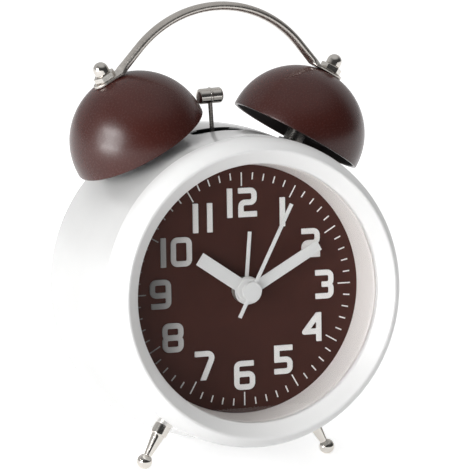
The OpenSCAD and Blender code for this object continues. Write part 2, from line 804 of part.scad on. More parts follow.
module acorn_nuts() {
    color("silver") for (side = [-1, 1]) on_bell(side)
        rotate([0, 0, side > 0 ? acorn_turn : 0]) acorn_nut();
}

module handle_leg(side) {
    leg_at = [arch_r * sin(arch_half), arch_centre + arch_r * cos(arch_half)];
    straight = leg_length - bend_length;
    mirror([side < 0 ? 1 : 0, 0, 0]) {
        translate([leg_at[0], leg_at[1], 0]) rotate([0, 0, -arch_half]) translate([-0.1, 0, 0])
            rotate([0, 90, 0]) rotate([0, 0, 90]) linear_extrude(straight + 0.1) polygon(strip(0.02));
        hull() {
            translate([leg_at[0], leg_at[1], 0]) rotate([0, 0, -arch_half])
                translate([straight - 0.1, 0, 0]) rotate([0, 90, 0]) rotate([0, 0, 90])
                linear_extrude(0.1) polygon(strip(0.04));
            radial(bell_angle, 0)
                slab([1.5 - tab_inner, -tab_width / 2, bell_top], [1.6 - tab_inner, tab_width / 2, tab_top]);
        }
        radial(bell_angle, 0) difference() {
            union() {
                slab([1.5 - tab_inner, -tab_width / 2, bell_top],
                    [tab_outer - tab_width / 2, tab_width / 2, tab_top]);
                translate([tab_outer - tab_width / 2, 0, bell_top])
                    cylinder(d = tab_width, h = tab_thickness);
            }
            rod_z(stud_r + fit_gap, bell_top - 1, tab_top + 1);
        }
    }
}

module handle() {
    color("silver") bell_frame() {
        translate([0, arch_centre, 0]) rotate([0, 0, 90 - arch_half])
            rotate_extrude(angle = 2 * arch_half) translate([arch_r, 0]) polygon(strip(0));
        handle_leg(-1);
        handle_leg(1);
    }
}

// Hammer
module along_rod() {
    translate([-pivot_offset, pivot_height, -hammer_depth]) rotate([0, 0, swing]) rotate([-90, 0, 0])
        children();
}

module hammer_head() {
    half = head_length / 2;
    flat_r = head_r - head_round;
    bead = 0.25;
    outline = concat([[0, -half]], arc(flat_r, head_round - half, head_round, -90, 0, 6),
        [[head_r, -2 * bead], [head_r + bead, -bead], [head_r + bead, bead], [head_r, 2 * bead]],
        arc(flat_r, half - head_round, head_round, 0, 90, 6), [[0, half]]);
    color("silver") along_rod() difference() {
        translate([0, 0, rod_length]) rotate([0, 90, 0]) rotate_extrude() polygon(outline);
        rod_z(rod_r + fit_gap, rod_length - head_r - 1, rod_length + 1);
    }
}

module hammer_rod() {
    color("silver") along_rod() rod_z(rod_r, rod_start, rod_length + 1 - seat_gap);
}

module hammer_lever() {
    hub_back = -(hammer_depth + 2.2);
    hub_front = -(hammer_depth - 1.3);
    lever_front = -(hammer_depth - lever_thickness / 2);
    color("dimgray") difference() {
        union() {
            translate([-pivot_offset, pivot_height, 0]) rod_z(hub_r, hub_back, hub_front);
            slab([-pivot_offset, arm_low, lever_front - lever_thickness], [arm_reach, arm_top, lever_front]);
            along_rod() rod_z(lever_post_r, lever_post_start, lever_post);
        }
        translate([-pivot_offset, pivot_height, 0]) rod_z(pivot_r + run_gap, hub_back - 1, hub_front + 1);
        along_rod() rod_z(rod_r + fit_gap, rod_start, lever_post + 1);
    }
}

module hammer_armature() {
    armature_back = -(hammer_depth + lever_thickness / 2);
    armature_front = magnet_z + core_r + 0.2;
    color("gray") slab([arm_reach - armature_length, arm_top, armature_back],
        [arm_reach, arm_top + armature_thickness, armature_front]);
}

module hammer_pivot() {
    head_back = -(hammer_depth - 1.6);
    color("silver") translate([-pivot_offset, pivot_height, 0]) {
        rod_z(pivot_r, bracket_back, head_back);
        rod_z(1.8 * pivot_r, head_back, head_back + 0.6);
    }
}

module hammer_bracket() {
    low = pivot_height - 4;
    high = core_top + bracket_thickness;
    half = magnet_x + flange_half;
    color("lightgray") difference() {
        union() {
            slab([-half, low, bracket_back], [half, high, bracket_front]);
            slab([magnet_x - flange_half, core_top, bracket_back], [half, high, flange_front]);
        }
        translate([-pivot_offset, pivot_height, 0])
            rod_z(pivot_r + fit_gap, bracket_back - 1, bracket_front + 1);
        for (x = [-post_x, post_x]) translate([x, post_y, 0])
            rod_z(screw_r + fit_gap, bracket_back - 1, bracket_front + 1);
    }
}

module bracket_screws() {
    low_head = 0.9;
    shank = 8;
    color("silver") for (x = [-post_x, post_x]) translate([x, post_y, 0]) {
        rod_z(screw_r, bracket_back - shank, bracket_front);
        rod_z(screw_head_r, bracket_front, bracket_front + low_head);
    }
}

module magnet_core() {
    color("gray") rod_y(core_r, magnet_x, magnet_z, core_low, core_top);
}

module magnet_coil() {
    cheek = 1;
    color("chocolate") difference() {
        union() {
            rod_y(coil_r - 0.6, magnet_x, magnet_z, coil_low, core_top);
            rod_y(coil_r, magnet_x, magnet_z, coil_low, coil_low + cheek);
            rod_y(coil_r, magnet_x, magnet_z, core_top - cheek, core_top);
        }
        rod_y(core_r + fit_gap, magnet_x, magnet_z, coil_low - 1, core_top + 1);
    }
}

// Feet
module foot(side) {
    edge = 0.4;
    profile = [[0, foot_seat - nut_height - 1], [stud_r, foot_seat - nut_height - 1], [stud_r, collar_base],
        [collar_r, collar_base], [collar_r, collar_end - edge], [collar_r - edge, collar_end],
        [cone_top_r, collar_end], [cone_tip_r, foot_reach - ball_r + edge], [cone_tip_r, foot_reach],
        [0, foot_reach]];
    color("silver") difference() {
        radial(180 - side * foot_angle, foot_depth) {
            rotate_extrude() polygon(profile);
            translate([0, 0, foot_reach]) sphere(r = ball_r);
        }
        table_cut();
    }
}

module left_foot() {
    foot(-1);
}

module right_foot() {
    foot(1);
}

module foot_nuts() {
    color("silver") for (side = [-1, 1]) radial(180 + side * foot_angle, foot_depth)
        hex_nut(foot_seat - nut_height, foot_seat, stud_r + fit_gap);
}

// Movement
module at(place) {
    translate([place[0], place[1], 0]) children();
}

module at_pillars() {
    for (x = [-pillar_x, pillar_x]) for (y = pillar_y) at([x, y]) children();
}

module movement_block(inset, low, high) {
    slab([inset - movement_w / 2, inset - movement_bottom, low],
        [movement_w / 2 - inset, movement_top - inset, high]);
}

module movement_front() {
    color("black") difference() {
        union() {
            difference() {
                movement_block(0, plate_front, dial_back);
                movement_block(movement_wall, plate_front - 1, front_inner);
            }
            at_pillars() rod_z(pillar_r, plate_front, front_inner + EPS);
            rod_z(bush_r, front_inner, dial_nut_height + 0.8);
        }
        rod_z(alarm_tube_r + run_gap, plate_front, dial_nut_height + 2);
        at(motion_at) rod_z(pivot_pin_r + run_gap, front_inner - 1, front_inner + pivot_depth);
        at(alarm_at) rod_z(pivot_pin_r + run_gap, front_inner - 1, front_inner + pivot_depth);
        at_pillars() rod_z(movement_screw_r + fit_gap, plate_front - 1, front_inner);
    }
}

module movement_plate() {
    post_x_offset = stator_leg / 2;
    color("gray") difference() {
        union() {
            movement_block(0, plate_back, plate_front);
            for (x = [stator_left + post_x_offset, stator_right - post_x_offset]) at([x, rotor_at[1]])
                rod_z(1.5, stator_front, plate_back + EPS);
        }
        rod_z(cannon_r + run_gap, plate_back - 1, plate_front + 1);
        at(motion_at) rod_z(shaft_r + run_gap, plate_back - 1, plate_front + 1);
        at(alarm_at) rod_z(shaft_r + run_gap, plate_back - 1, plate_front + 1);
        for (p = [third_at, intermediate_at, rotor_at]) at(p)
            rod_z(arbor_r + run_gap, plate_back - 1, plate_front + 1);
        at_pillars() rod_z(movement_screw_r + fit_gap, plate_back - 1, plate_front + 1);
    }
}

module movement_back() {
    color("black") difference() {
        union() {
            difference() {
                movement_block(0, movement_back_z, plate_back);
                movement_block(movement_wall, back_inner, plate_back + 1);
            }
            at_pillars() rod_z(pillar_r, back_inner - EPS, plate_back);
        }
        rod_z(second_arbor_r + run_gap, back_inner - pivot_depth, back_inner + 1);
        for (p = [third_at, intermediate_at, rotor_at]) at(p)
            rod_z(arbor_r + run_gap, back_inner - pivot_depth, back_inner + 1);
        at(motion_at) rod_z(shaft_r + run_gap, movement_back_z - 1, back_inner + 1);
        at(alarm_at) rod_z(shaft_r + run_gap, movement_back_z - 1, back_inner + 1);
        at_pillars() rod_z(movement_screw_r + fit_gap, movement_back_z - 1, plate_back + 1);
    }
}

module movement_screws() {
    color("silver") at_pillars() {
        rod_z(movement_screw_r, movement_back_z, front_inner - 1);
        rod_z(2 * movement_screw_r, movement_back_z - 1, movement_back_z);
    }
}

// Wheels: teeth are straight-sided, narrow enough to run free, and a tooth lies on the line of centres
module wheel(teeth, size, phase, top, extra) {
    tip = size * (teeth / 2 + 0.8);
    root_r = size * (teeth / 2 - 1.05);
    pitch_r = size * teeth / 2;
    shape = [[-0.26, root_r], [-0.2, pitch_r], [-0.08, tip], [0.08, tip], [0.2, pitch_r], [0.26, root_r]];
    outline = [for (i = [0:teeth - 1]) for (s = shape) let (a = phase + 360 * (i + s[0]) / teeth)
        s[1] * [cos(a), sin(a)]];
    translate([0, 0, top - wheel_thickness - extra])
        linear_extrude(wheel_thickness + 2 * extra) polygon(outline);
}

function tooth_size(distance, a, b) = 2 * distance / (a + b);
motion_size = tooth_size(motion_distance, cannon_teeth, motion_teeth);
hour_size = tooth_size(motion_distance, motion_pinion_teeth, hour_teeth);
alarm_size = tooth_size(alarm_distance, alarm_pinion_teeth, alarm_teeth);
third_size = tooth_size(third_distance, second_pinion_teeth, third_teeth);
centre_size = tooth_size(third_distance, third_pinion_teeth, centre_teeth);
second_size = tooth_size(intermediate_distance, intermediate_pinion_teeth, second_teeth);
rotor_size = tooth_size(rotor_distance, intermediate_teeth, rotor_pinion_teeth);
function gap_phase(direction, teeth) = direction + 180 + 180 / teeth;

module cannon_pinion() {
    color("gold") difference() {
        union() {
            wheel(cannon_teeth, motion_size, 180, minute_layer, pinion_extra);
            rod_z(cannon_r, centre_layer - wheel_thickness - 0.2, minute_hand_z + hand_thickness);
        }
        rod_z(second_arbor_r + run_gap, centre_layer - 5, minute_hand_z + 5);
    }
}

module motion_wheel() {
    color("ivory") at(motion_at) {
        wheel(motion_teeth, motion_size, gap_phase(180, motion_teeth), minute_layer, 0);
        wheel(motion_pinion_teeth, hour_size, 0, hour_layer, pinion_extra);
        rod_z(pivot_pin_r, minute_layer, front_inner + pivot_depth - 0.1);
        rod_z(shaft_r, knob_back + knob_skin + 0.1, minute_layer);
    }
}

module hour_wheel() {
    color("ivory") difference() {
        union() {
            wheel(hour_teeth, hour_size, gap_phase(0, hour_teeth), hour_layer, 0);
            rod_z(hour_tube_r, hour_layer - wheel_thickness, hour_hand_z + hand_thickness);
        }
        rod_z(cannon_r + run_gap, hour_layer - 5, hour_hand_z + 5);
    }
}

module alarm_wheel() {
    color("ivory") difference() {
        union() {
            wheel(alarm_teeth, alarm_size, gap_phase(180, alarm_teeth), alarm_layer, 0);
            rod_z(alarm_tube_r, alarm_layer - wheel_thickness, alarm_hand_z + hand_thickness);
        }
        rod_z(hour_tube_r + run_gap, alarm_layer - 5, alarm_hand_z + 5);
    }
}

module alarm_pinion() {
    color("ivory") at(alarm_at) {
        wheel(alarm_pinion_teeth, alarm_size, 180, alarm_layer, 0.1);
        rod_z(pivot_pin_r, alarm_layer, front_inner + pivot_depth - 0.1);
        rod_z(shaft_r, knob_back + knob_skin + 0.1, alarm_layer);
    }
}

module centre_wheel() {
    color("ivory") difference() {
        wheel(centre_teeth, centre_size, gap_phase(-90, centre_teeth), centre_layer, 0);
        rod_z(cannon_r + run_gap, centre_layer - 5, centre_layer + 5);
    }
}

module rear_arbor() {
    rod_z(arbor_r, back_inner - pivot_depth + 0.1, plate_front - 0.1);
}

module third_wheel() {
    color("ivory") at(third_at) {
        wheel(third_teeth, third_size, gap_phase(90, third_teeth), third_layer, 0);
        wheel(third_pinion_teeth, centre_size, -90, centre_layer, pinion_extra);
        rear_arbor();
    }
}

module second_wheel() {
    color("ivory") {
        wheel(second_teeth, second_size, gap_phase(intermediate_angle + 180, second_teeth), second_layer, 0);
        wheel(second_pinion_teeth, third_size, 90, third_layer, pinion_extra);
        rod_z(second_arbor_r, back_inner - pivot_depth + 0.1, second_hand_z + hand_thickness - 0.1);
    }
}

module intermediate_wheel() {
    color("ivory") at(intermediate_at) {
        wheel(intermediate_pinion_teeth, second_size, intermediate_angle + 180, second_layer, pinion_extra);
        wheel(intermediate_teeth, rotor_size, gap_phase(90, intermediate_teeth), rotor_layer, 0);
        rear_arbor();
    }
}

module rotor() {
    magnet_mid = (stator_front + stator_back) / 2;
    color("dimgray") at(rotor_at) {
        wheel(rotor_pinion_teeth, rotor_size, 90, rotor_layer, pinion_extra);
        rod_z(magnet_r, magnet_mid - magnet_height / 2, magnet_mid + magnet_height / 2);
        rear_arbor();
    }
}

module stator() {
    limb_low = limb_top - limb_height;
    color("lightsteelblue") difference() {
        slab([stator_left, limb_low, stator_back], [stator_right, stator_top, stator_front]);
        slab([stator_left + stator_leg, limb_top, stator_back - 1],
            [stator_right - stator_leg, stator_mid, stator_front + 1]);
        at(rotor_at) rod_z(stator_hole_r, stator_back - 1, stator_front + 1);
    }
}

module stepper_coil() {
    low = [stator_left + stator_leg + 0.5, limb_top - limb_height, stator_back];
    high = [stator_right - stator_leg - 0.5, limb_top, stator_front];
    side = [0, coil_margin, 1.4];
    color("chocolate") difference() {
        slab(low - side, high + side);
        slab([low[0] - 1, low[1] - fit_gap, low[2] - fit_gap],
            [high[0] + 1, high[1] + fit_gap, high[2] + fit_gap]);
    }
}

module circuit_board() {
    board_half = movement_w / 2 - 7;
    board_low = limb_top - limb_height - 3;
    color("darkgreen") {
        slab([-board_half, board_low, back_inner], [board_half, rotor_at[1] - 3.6, back_inner + 1]);
        at([-board_half + 4, board_low + 3]) rod_z(2, back_inner + 1, back_inner + 2);
    }
}

// Rear cover and what is in it
module rear_cover() {
    cover_r = inner_r(case_depth) - seat_gap;
    color("white") difference() {
        union() {
            rod_z(cover_r, cover_back, cover_front);
            slab([-bay_half - bay_wall, bay_low - bay_wall, cover_front - EPS],
                [bay_half + bay_wall, bay_top + bay_wall, bay_floor + bay_wall]);
            for (x = [-post_x, post_x]) at([x, post_y]) rod_z(post_r, cover_front - EPS, bracket_back);
        }
        slab([-bay_half, bay_low, cover_back - 1], [bay_half, bay_top, bay_floor]);
        rod_x(door_pin_r + run_gap, hinge_y, hinge_z, -bay_half - door_pin_length - 0.2,
            bay_half + door_pin_length + 0.2);
        for (x = [-bay_half - 0.1, bay_half - contact_thickness - 0.1])
            slab([x, battery_y - contact_tab / 2 - 0.1, bay_floor - 1],
                [x + contact_thickness + 0.2, battery_y + contact_tab / 2 + 0.1, bay_floor + bay_wall + 1]);
        for (x = [-post_x, post_x]) at([x, post_y])
            rod_z(screw_r + fit_gap, bracket_back - 9, bracket_back + 1);
        for (p = [motion_at, alarm_at]) at(p) rod_z(shaft_r + run_gap, cover_back - 1, cover_front + 1);
        slot_half = (stem_w + switch_travel) / 2 + 0.4;
        slab([-slot_half, switch_y - stem_h / 2 - 0.3, cover_back - 1],
            [slot_half, switch_y + stem_h / 2 + 0.3, cover_front + 1]);
        for (a = cover_screw_angles) rotate([0, 0, -a]) translate([0, cover_screw_at, 0])
            rod_z(screw_r + fit_gap, cover_back - 1, cover_front + 1);
    }
}

module rear_cover_screws() {
    color("silver") for (a = cover_screw_angles) rotate([0, 0, -a]) translate([0, cover_screw_at, 0]) {
        rod_z(screw_r, cover_back, cover_front + cover_boss_length - 3);
        rod_z(screw_head_r, cover_back - screw_head, cover_back);
    }
}

module knob(place) {
    outline = [for (i = [0:knob_flutes - 1]) for (s = [0:3]) let (a = 360 * (i + s / 4) / knob_flutes)
        (knob_r - flute_depth * (1 - cos(90 * s)) / 2) * [cos(a), sin(a)]];
    color("white") at(place) difference() {
        translate([0, 0, knob_back]) linear_extrude(knob_height) polygon(outline);
        rod_z(shaft_r + fit_gap, knob_back + knob_skin, knob_front + 1);
    }
}

module time_set_knob() {
    knob(motion_at);
}

module alarm_set_knob() {
    knob(alarm_at);
}

module alarm_switch() {
    flange_back = cover_front + 0.6;
    color("black") translate([-switch_travel / 2, switch_y, 0]) {
        slab([-stem_w / 2, -stem_h / 2, cover_back - 2], [stem_w / 2, stem_h / 2, flange_back + EPS]);
        slab([-slider_w / 2, -slider_h / 2, flange_back],
            [slider_w / 2, slider_h / 2, flange_back + slider_t]);
    }
}

module switch_base() {
    floor_z = cover_front + channel_depth;
    color("gray") difference() {
        slab([-channel_w / 2 - switch_wall, switch_y - channel_h / 2 - switch_wall, cover_front],
            [channel_w / 2 + switch_wall, switch_y + channel_h / 2 + switch_wall, floor_z + switch_wall]);
        slab([-channel_w / 2, switch_y - channel_h / 2, cover_front - 1],
            [channel_w / 2, switch_y + channel_h / 2, floor_z]);
    }
}

module battery_door() {
    half = bay_half - door_gap;
    color("white") difference() {
        union() {
            slab([-half, hinge_y, cover_back], [half, bay_top - door_gap, cover_front]);
            rod_x(door_round, hinge_y, hinge_z, -half, half);
            rod_x(door_pin_r, hinge_y, hinge_z, -bay_half - door_pin_length, bay_half + door_pin_length);
        }
        for (x = [-6:3:6])
            slab([x - 0.5, bay_top - 6, cover_back - 1], [x + 0.5, bay_top - 2, cover_back + 0.5]);
    }
}

module battery() {
    cap = 1.5;
    nub_r = 2.7;
    color("darkslategray") {
        rod_x(battery_r, battery_y, battery_z, -battery_length / 2, battery_length / 2 - cap);
        rod_x(nub_r, battery_y, battery_z, battery_length / 2 - cap - EPS, battery_length / 2);
    }
}

module battery_contacts() {
    bump_r = 3;
    color("silver") for (side = [-1, 1]) mirror([side < 0 ? 1 : 0, 0, 0]) {
        face = bay_half - contact_thickness;
        slab([face, battery_y - contact_half, battery_z - contact_half],
            [bay_half, battery_y + contact_half, bay_floor]);
        slab([face, battery_y - contact_tab / 2, bay_floor - EPS],
            [bay_half, battery_y + contact_tab / 2, bay_floor + tab_reach]);
        rod_x(bump_r, battery_y, battery_z, battery_length / 2 + fit_gap, face + EPS);
    }
}

module battery_leads() {
    tab_end = bay_floor + tab_reach;
    lead_end = movement_back_z;
    mid = (tab_end + lead_end) / 2;
    entry = -movement_bottom + 5;
    color("red") for (side = [-1, 1]) translate([side * (bay_half - contact_thickness / 2), 0, 0]) {
        translate([0, battery_y, 0]) rod_z(lead_r, tab_end, mid - lead_bend);
        translate([0, battery_y + lead_bend, mid - lead_bend]) rotate([90, 0, -90])
            rotate_extrude(angle = 90) translate([lead_bend, 0]) circle(r = lead_r, $fn = 24);
        rod_y(lead_r, 0, mid, battery_y + lead_bend, entry - lead_bend);
        translate([0, entry - lead_bend, mid + lead_bend]) rotate([0, 90, 0])
            rotate_extrude(angle = 90) translate([lead_bend, 0]) circle(r = lead_r, $fn = 24);
        translate([0, entry, 0]) rod_z(lead_r, mid + lead_bend, lead_end);
    }
}

module magnet_leads() {
    color("red") for (x = [-lead_spread, lead_spread])
        rod_y(lead_r, magnet_x + x, magnet_z + coil_r - 1.2, movement_top, coil_low);
}

stand() drum_case();
stand() front_bezel();
stand() rehaut_ring();
stand() lens();
stand() dial_plate();
stand() dial_ticks();
stand() dial_numerals();
stand() dial_nut();
stand() alarm_hand();
stand() hour_hand();
stand() minute_hand();
stand() second_hand();
stand() left_bell();
stand() right_bell();
stand() bell_spacers();
stand() bell_studs();
stand() stud_nuts();
stand() acorn_nuts();
stand() handle();
stand() hammer_head();
stand() hammer_rod();
stand() hammer_lever();
stand() hammer_armature();
stand() hammer_pivot();
stand() hammer_bracket();
stand() bracket_screws();
stand() magnet_core();
stand() magnet_coil();
stand() left_foot();
stand() right_foot();
stand() foot_nuts();
stand() movement_front();
stand() movement_plate();
stand() movement_back();
stand() movement_screws();
stand() cannon_pinion();
stand() motion_wheel();
stand() hour_wheel();
stand() alarm_wheel();
stand() alarm_pinion();
stand() centre_wheel();
stand() third_wheel();
stand() second_wheel();
stand() intermediate_wheel();
stand() rotor();
stand() stator();
stand() stepper_coil();
stand() circuit_board();
stand() rear_cover();
stand() rear_cover_screws();
stand() time_set_knob();
stand() alarm_set_knob();
stand() alarm_switch();
stand() switch_base();
stand() battery_door();
stand() battery();
stand() battery_contacts();
stand() battery_leads();
stand() magnet_leads();
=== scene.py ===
import json
import math

import bmesh
import bpy
from mathutils import Matrix, Vector


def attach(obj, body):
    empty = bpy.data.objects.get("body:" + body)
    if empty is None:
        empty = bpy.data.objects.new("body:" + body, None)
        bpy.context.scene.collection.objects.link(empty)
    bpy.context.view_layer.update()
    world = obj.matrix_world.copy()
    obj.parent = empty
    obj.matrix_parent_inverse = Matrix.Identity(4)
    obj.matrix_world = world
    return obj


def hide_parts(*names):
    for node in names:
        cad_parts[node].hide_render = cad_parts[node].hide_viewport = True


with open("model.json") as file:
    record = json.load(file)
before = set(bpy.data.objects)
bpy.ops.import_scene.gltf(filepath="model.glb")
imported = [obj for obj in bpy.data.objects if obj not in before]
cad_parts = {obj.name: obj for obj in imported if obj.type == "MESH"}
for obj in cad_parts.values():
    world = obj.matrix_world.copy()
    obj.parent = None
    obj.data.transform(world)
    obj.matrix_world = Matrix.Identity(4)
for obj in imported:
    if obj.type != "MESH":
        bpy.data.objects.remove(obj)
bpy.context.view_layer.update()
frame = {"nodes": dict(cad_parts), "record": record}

nodes = frame["nodes"]
MM = 0.001

# Sizes in millimetres and angles in degrees: the solids' own, and those of the finer edges added here
CASE_REAR_R = 57.3
CASE_FRONT_R = 54.9
CASE_WALL = 2.0
CASE_DEPTH = 43.0
RIM_ROUND = 1.5
COVER_STEP = 1.5
SEAM_CUT = 0.06
SEAM_EDGE = 0.08
FLARE_START = -4.0
FLARE_END = 36.0
SEAM = 9.0
BEZEL_FRONT_R = 50.9
BEZEL_HEIGHT = 20.4
BEZEL_EDGE = 0.7
LIP_R = 45.5
LIP_FRONT = 16.2
LENS_FRONT = 14.2
LENS_BACK = 12.4
SLEEVE_R = 47.3
SLEEVE_OUTER_R = 49.1
SLEEVE_LOW = -0.5
HOLLOW_TOP = 12.0
SPIGOT_INNER_R = 51.0
SPIGOT_R = 52.6
SPIGOT_LOW = 5.0
GLASS_R = 47.0
REHAUT_DIAL_R = 44.2
DIAL_BACK = -0.8
LEDGE_R = 43.0
LEDGE_THICKNESS = 2.0
BUSH_R = 3.65
BELL_R = 24.8
BELL_WALL = 1.2
BELL_SKIRT = 1.0
BELL_ANGLE = 29.8
BELL_TILT = 4.0
BELL_DEPTH = 20.1
BELL_RIM = 60.0
DOME = BELL_RIM + BELL_SKIRT
DOME_Y = DOME * math.cos(math.radians(BELL_ANGLE))
BELL_FLAT = 0.3
BELL_LIP_ROUND = 0.35
BELL_TOP = DOME + BELL_R - BELL_FLAT
PAD_R = 5.0
PAD_SINK = 0.8
PAD_PROUD = 0.4
POST_R = 3.5
STUD_R = 2.05
TAB_THICKNESS = 1.1
TAB_TOP = BELL_TOP + TAB_THICKNESS
TAB_WIDTH = 7.6
TAB_INNER = 5.7
TAB_OUTER = 5.1
HANDLE_RISE = 24.0
ARCH_EASE = 2.5
HANDLE_WIDTH = 5.0
HANDLE_THICKNESS = 3.2
NUT_R = 4.04
NUT_HEX = 2.2
NUT_NECK = 1.7
NUT_DOME_R = 2.75
NUT_CHAMFER = 0.25
NUT_WAIST = 0.35
SLOT_LENGTH = 20.0
SLOT_WIDTH = 7.4
SLOT_DEPTH = 15.0
SLOT_OFFSET = 2.7
SLOT_EDGE = 0.5
SLOT_CUT_START = 12.0
SLOT_CUT = 20.0
SLOT_RELIEF = 3.0
RELIEF_FRONT = 4
RELIEF_REAR = 26
FOOT_ANGLE = 30.4
FOOT_DEPTH = 7.6
FOOT_LENGTH = 15.0
COLLAR_R = 3.0
COLLAR_LENGTH = 4.3
COLLAR_SINK = 0.4
SHANK_R = 2.0
SHANK_TOP = 48.0
SHOULDER_R = 2.55
TAPER_R = 2.45
ANKLE_R = 1.4
BALL_R = 2.8
BALL_FLAT = 0.15
HEAD_R = 2.8
HEAD_ROUND = 1.0
HEAD_HALF = 4.492
HEAD_OFFSET = 4.2
HEAD_LIFT = 15.0
HEAD_HEIGHT = DOME_Y * math.cos(math.radians(BELL_TILT)) + HEAD_LIFT
BEAD_HALF = 0.5
BEAD_PROUD = 0.25
HAMMER_DEPTH = 17.5
PIVOT_OFFSET = 2.0
PIVOT_HEIGHT = 26.0
ROD_R = 0.8
ROD_START = 6.0
ROD_SEAT = 1.5
COVER_FRONT = -39.0
COVER_BACK = -41.0
EDGE = 0.3

# Faces round a turned piece, and the angle in degrees from which an edge stays crisp
ROUND_CASE = 224
ROUND_DIAL = 192
ROUND_HEAD = 96
ROUND_SMALL = 64
CRISP = 30


def smooth_step(t):
    t = min(1.0, max(0.0, t))
    return t * t * (3 - 2 * t)


def case_r(depth):
    flare = CASE_REAR_R - CASE_FRONT_R
    return CASE_FRONT_R + flare * smooth_step((depth - FLARE_START) / (FLARE_END - FLARE_START))


def arc(x, y, r, start, end, steps):
    points = []
    for i in range(steps + 1):
        a = math.radians(start + (end - start) * i / steps)
        points.append((x + r * math.cos(a), y + r * math.sin(a)))
    return points


def bezier(p0, p1, p2, p3, steps):
    points = []
    for i in range(steps + 1):
        t = i / steps
        s = 1 - t
        weights = (s * s * s, 3 * s * s * t, 3 * s * t * t, t * t * t)
        points.append(tuple(sum(w * p[k] for w, p in zip(weights, (p0, p1, p2, p3))) for k in (0, 1)))
    return points


def bezel_shoulder(steps):
    return bezier((CASE_FRONT_R, SEAM + 2), (CASE_FRONT_R, BEZEL_HEIGHT - 5.0),
                  (BEZEL_FRONT_R + 2.1, BEZEL_HEIGHT - 1.9), (BEZEL_FRONT_R, BEZEL_HEIGHT), steps)


# The clock leans back onto its rear rim, with the middle of its footprint at the origin
COLLAR_BASE = case_r(FOOT_DEPTH - COLLAR_R) - COLLAR_SINK
FOOT_REACH = COLLAR_BASE + FOOT_LENGTH
contact = BALL_R - BALL_FLAT
foot_drop = FOOT_REACH * math.cos(math.radians(FOOT_ANGLE))
rise = foot_drop - (CASE_REAR_R - RIM_ROUND)
run = CASE_DEPTH - RIM_ROUND - FOOT_DEPTH
LEAN = math.acos((RIM_ROUND - contact) / math.hypot(rise, run)) - math.atan2(run, rise)
HEIGHT = foot_drop * math.cos(LEAN) + FOOT_DEPTH * math.sin(LEAN) + contact
front_reach = max(r * math.sin(LEAN) + z * math.cos(LEAN) for r, z in bezel_shoulder(16))
bell_rise = DOME_Y * math.cos(math.radians(BELL_TILT))
rear_reach = bell_rise * math.sin(LEAN) + BELL_DEPTH * math.cos(LEAN) + BELL_R
SHIFT = (front_reach - rear_reach) / 2
FACE = (Matrix.Translation((0, SHIFT * MM, HEIGHT * MM)) @ Matrix.Rotation(math.pi / 2 - LEAN, 4, "X")
        @ Matrix.Scale(MM, 4))
BELL_PLANE = BELL_DEPTH + DOME_Y * math.sin(math.radians(BELL_TILT))
BELL_FRAME = (FACE @ Matrix.Translation((0, 0, -BELL_PLANE))
              @ Matrix.Rotation(math.radians(BELL_TILT), 4, "X"))


def radial(angle, depth, frame_of=FACE):
    """Place for a piece whose axis runs out from the case's axis, in degrees clockwise from the top."""
    return (frame_of @ Matrix.Rotation(math.radians(-angle), 4, "Z") @ Matrix.Translation((0, 0, -depth))
            @ Matrix.Rotation(math.radians(-90), 4, "X"))


def on_bell(side):
    """Place along a bell's own axis, in the plane of the bells that leans towards the front."""
    return radial(side * BELL_ANGLE, 0, BELL_FRAME)


# Profiles
def soften(points, closed=True, steps=4):
    """Rounds the corners that carry a third number, their size."""
    out = []
    count = len(points)
    for i, p in enumerate(points):
        here = Vector(p[:2])
        size = p[2] if len(p) > 2 else 0
        if size <= 0 or (not closed and i in (0, count - 1)):
            out.append(tuple(here))
            continue
        before = Vector(points[i - 1][:2]) - here
        after = Vector(points[(i + 1) % count][:2]) - here
        first = here + before.normalized() * min(size, 0.48 * before.length)
        last = here + after.normalized() * min(size, 0.48 * after.length)
        for k in range(steps + 1):
            t = k / steps
            out.append(tuple((1 - t) ** 2 * first + 2 * t * (1 - t) * here + t * t * last))
    return out


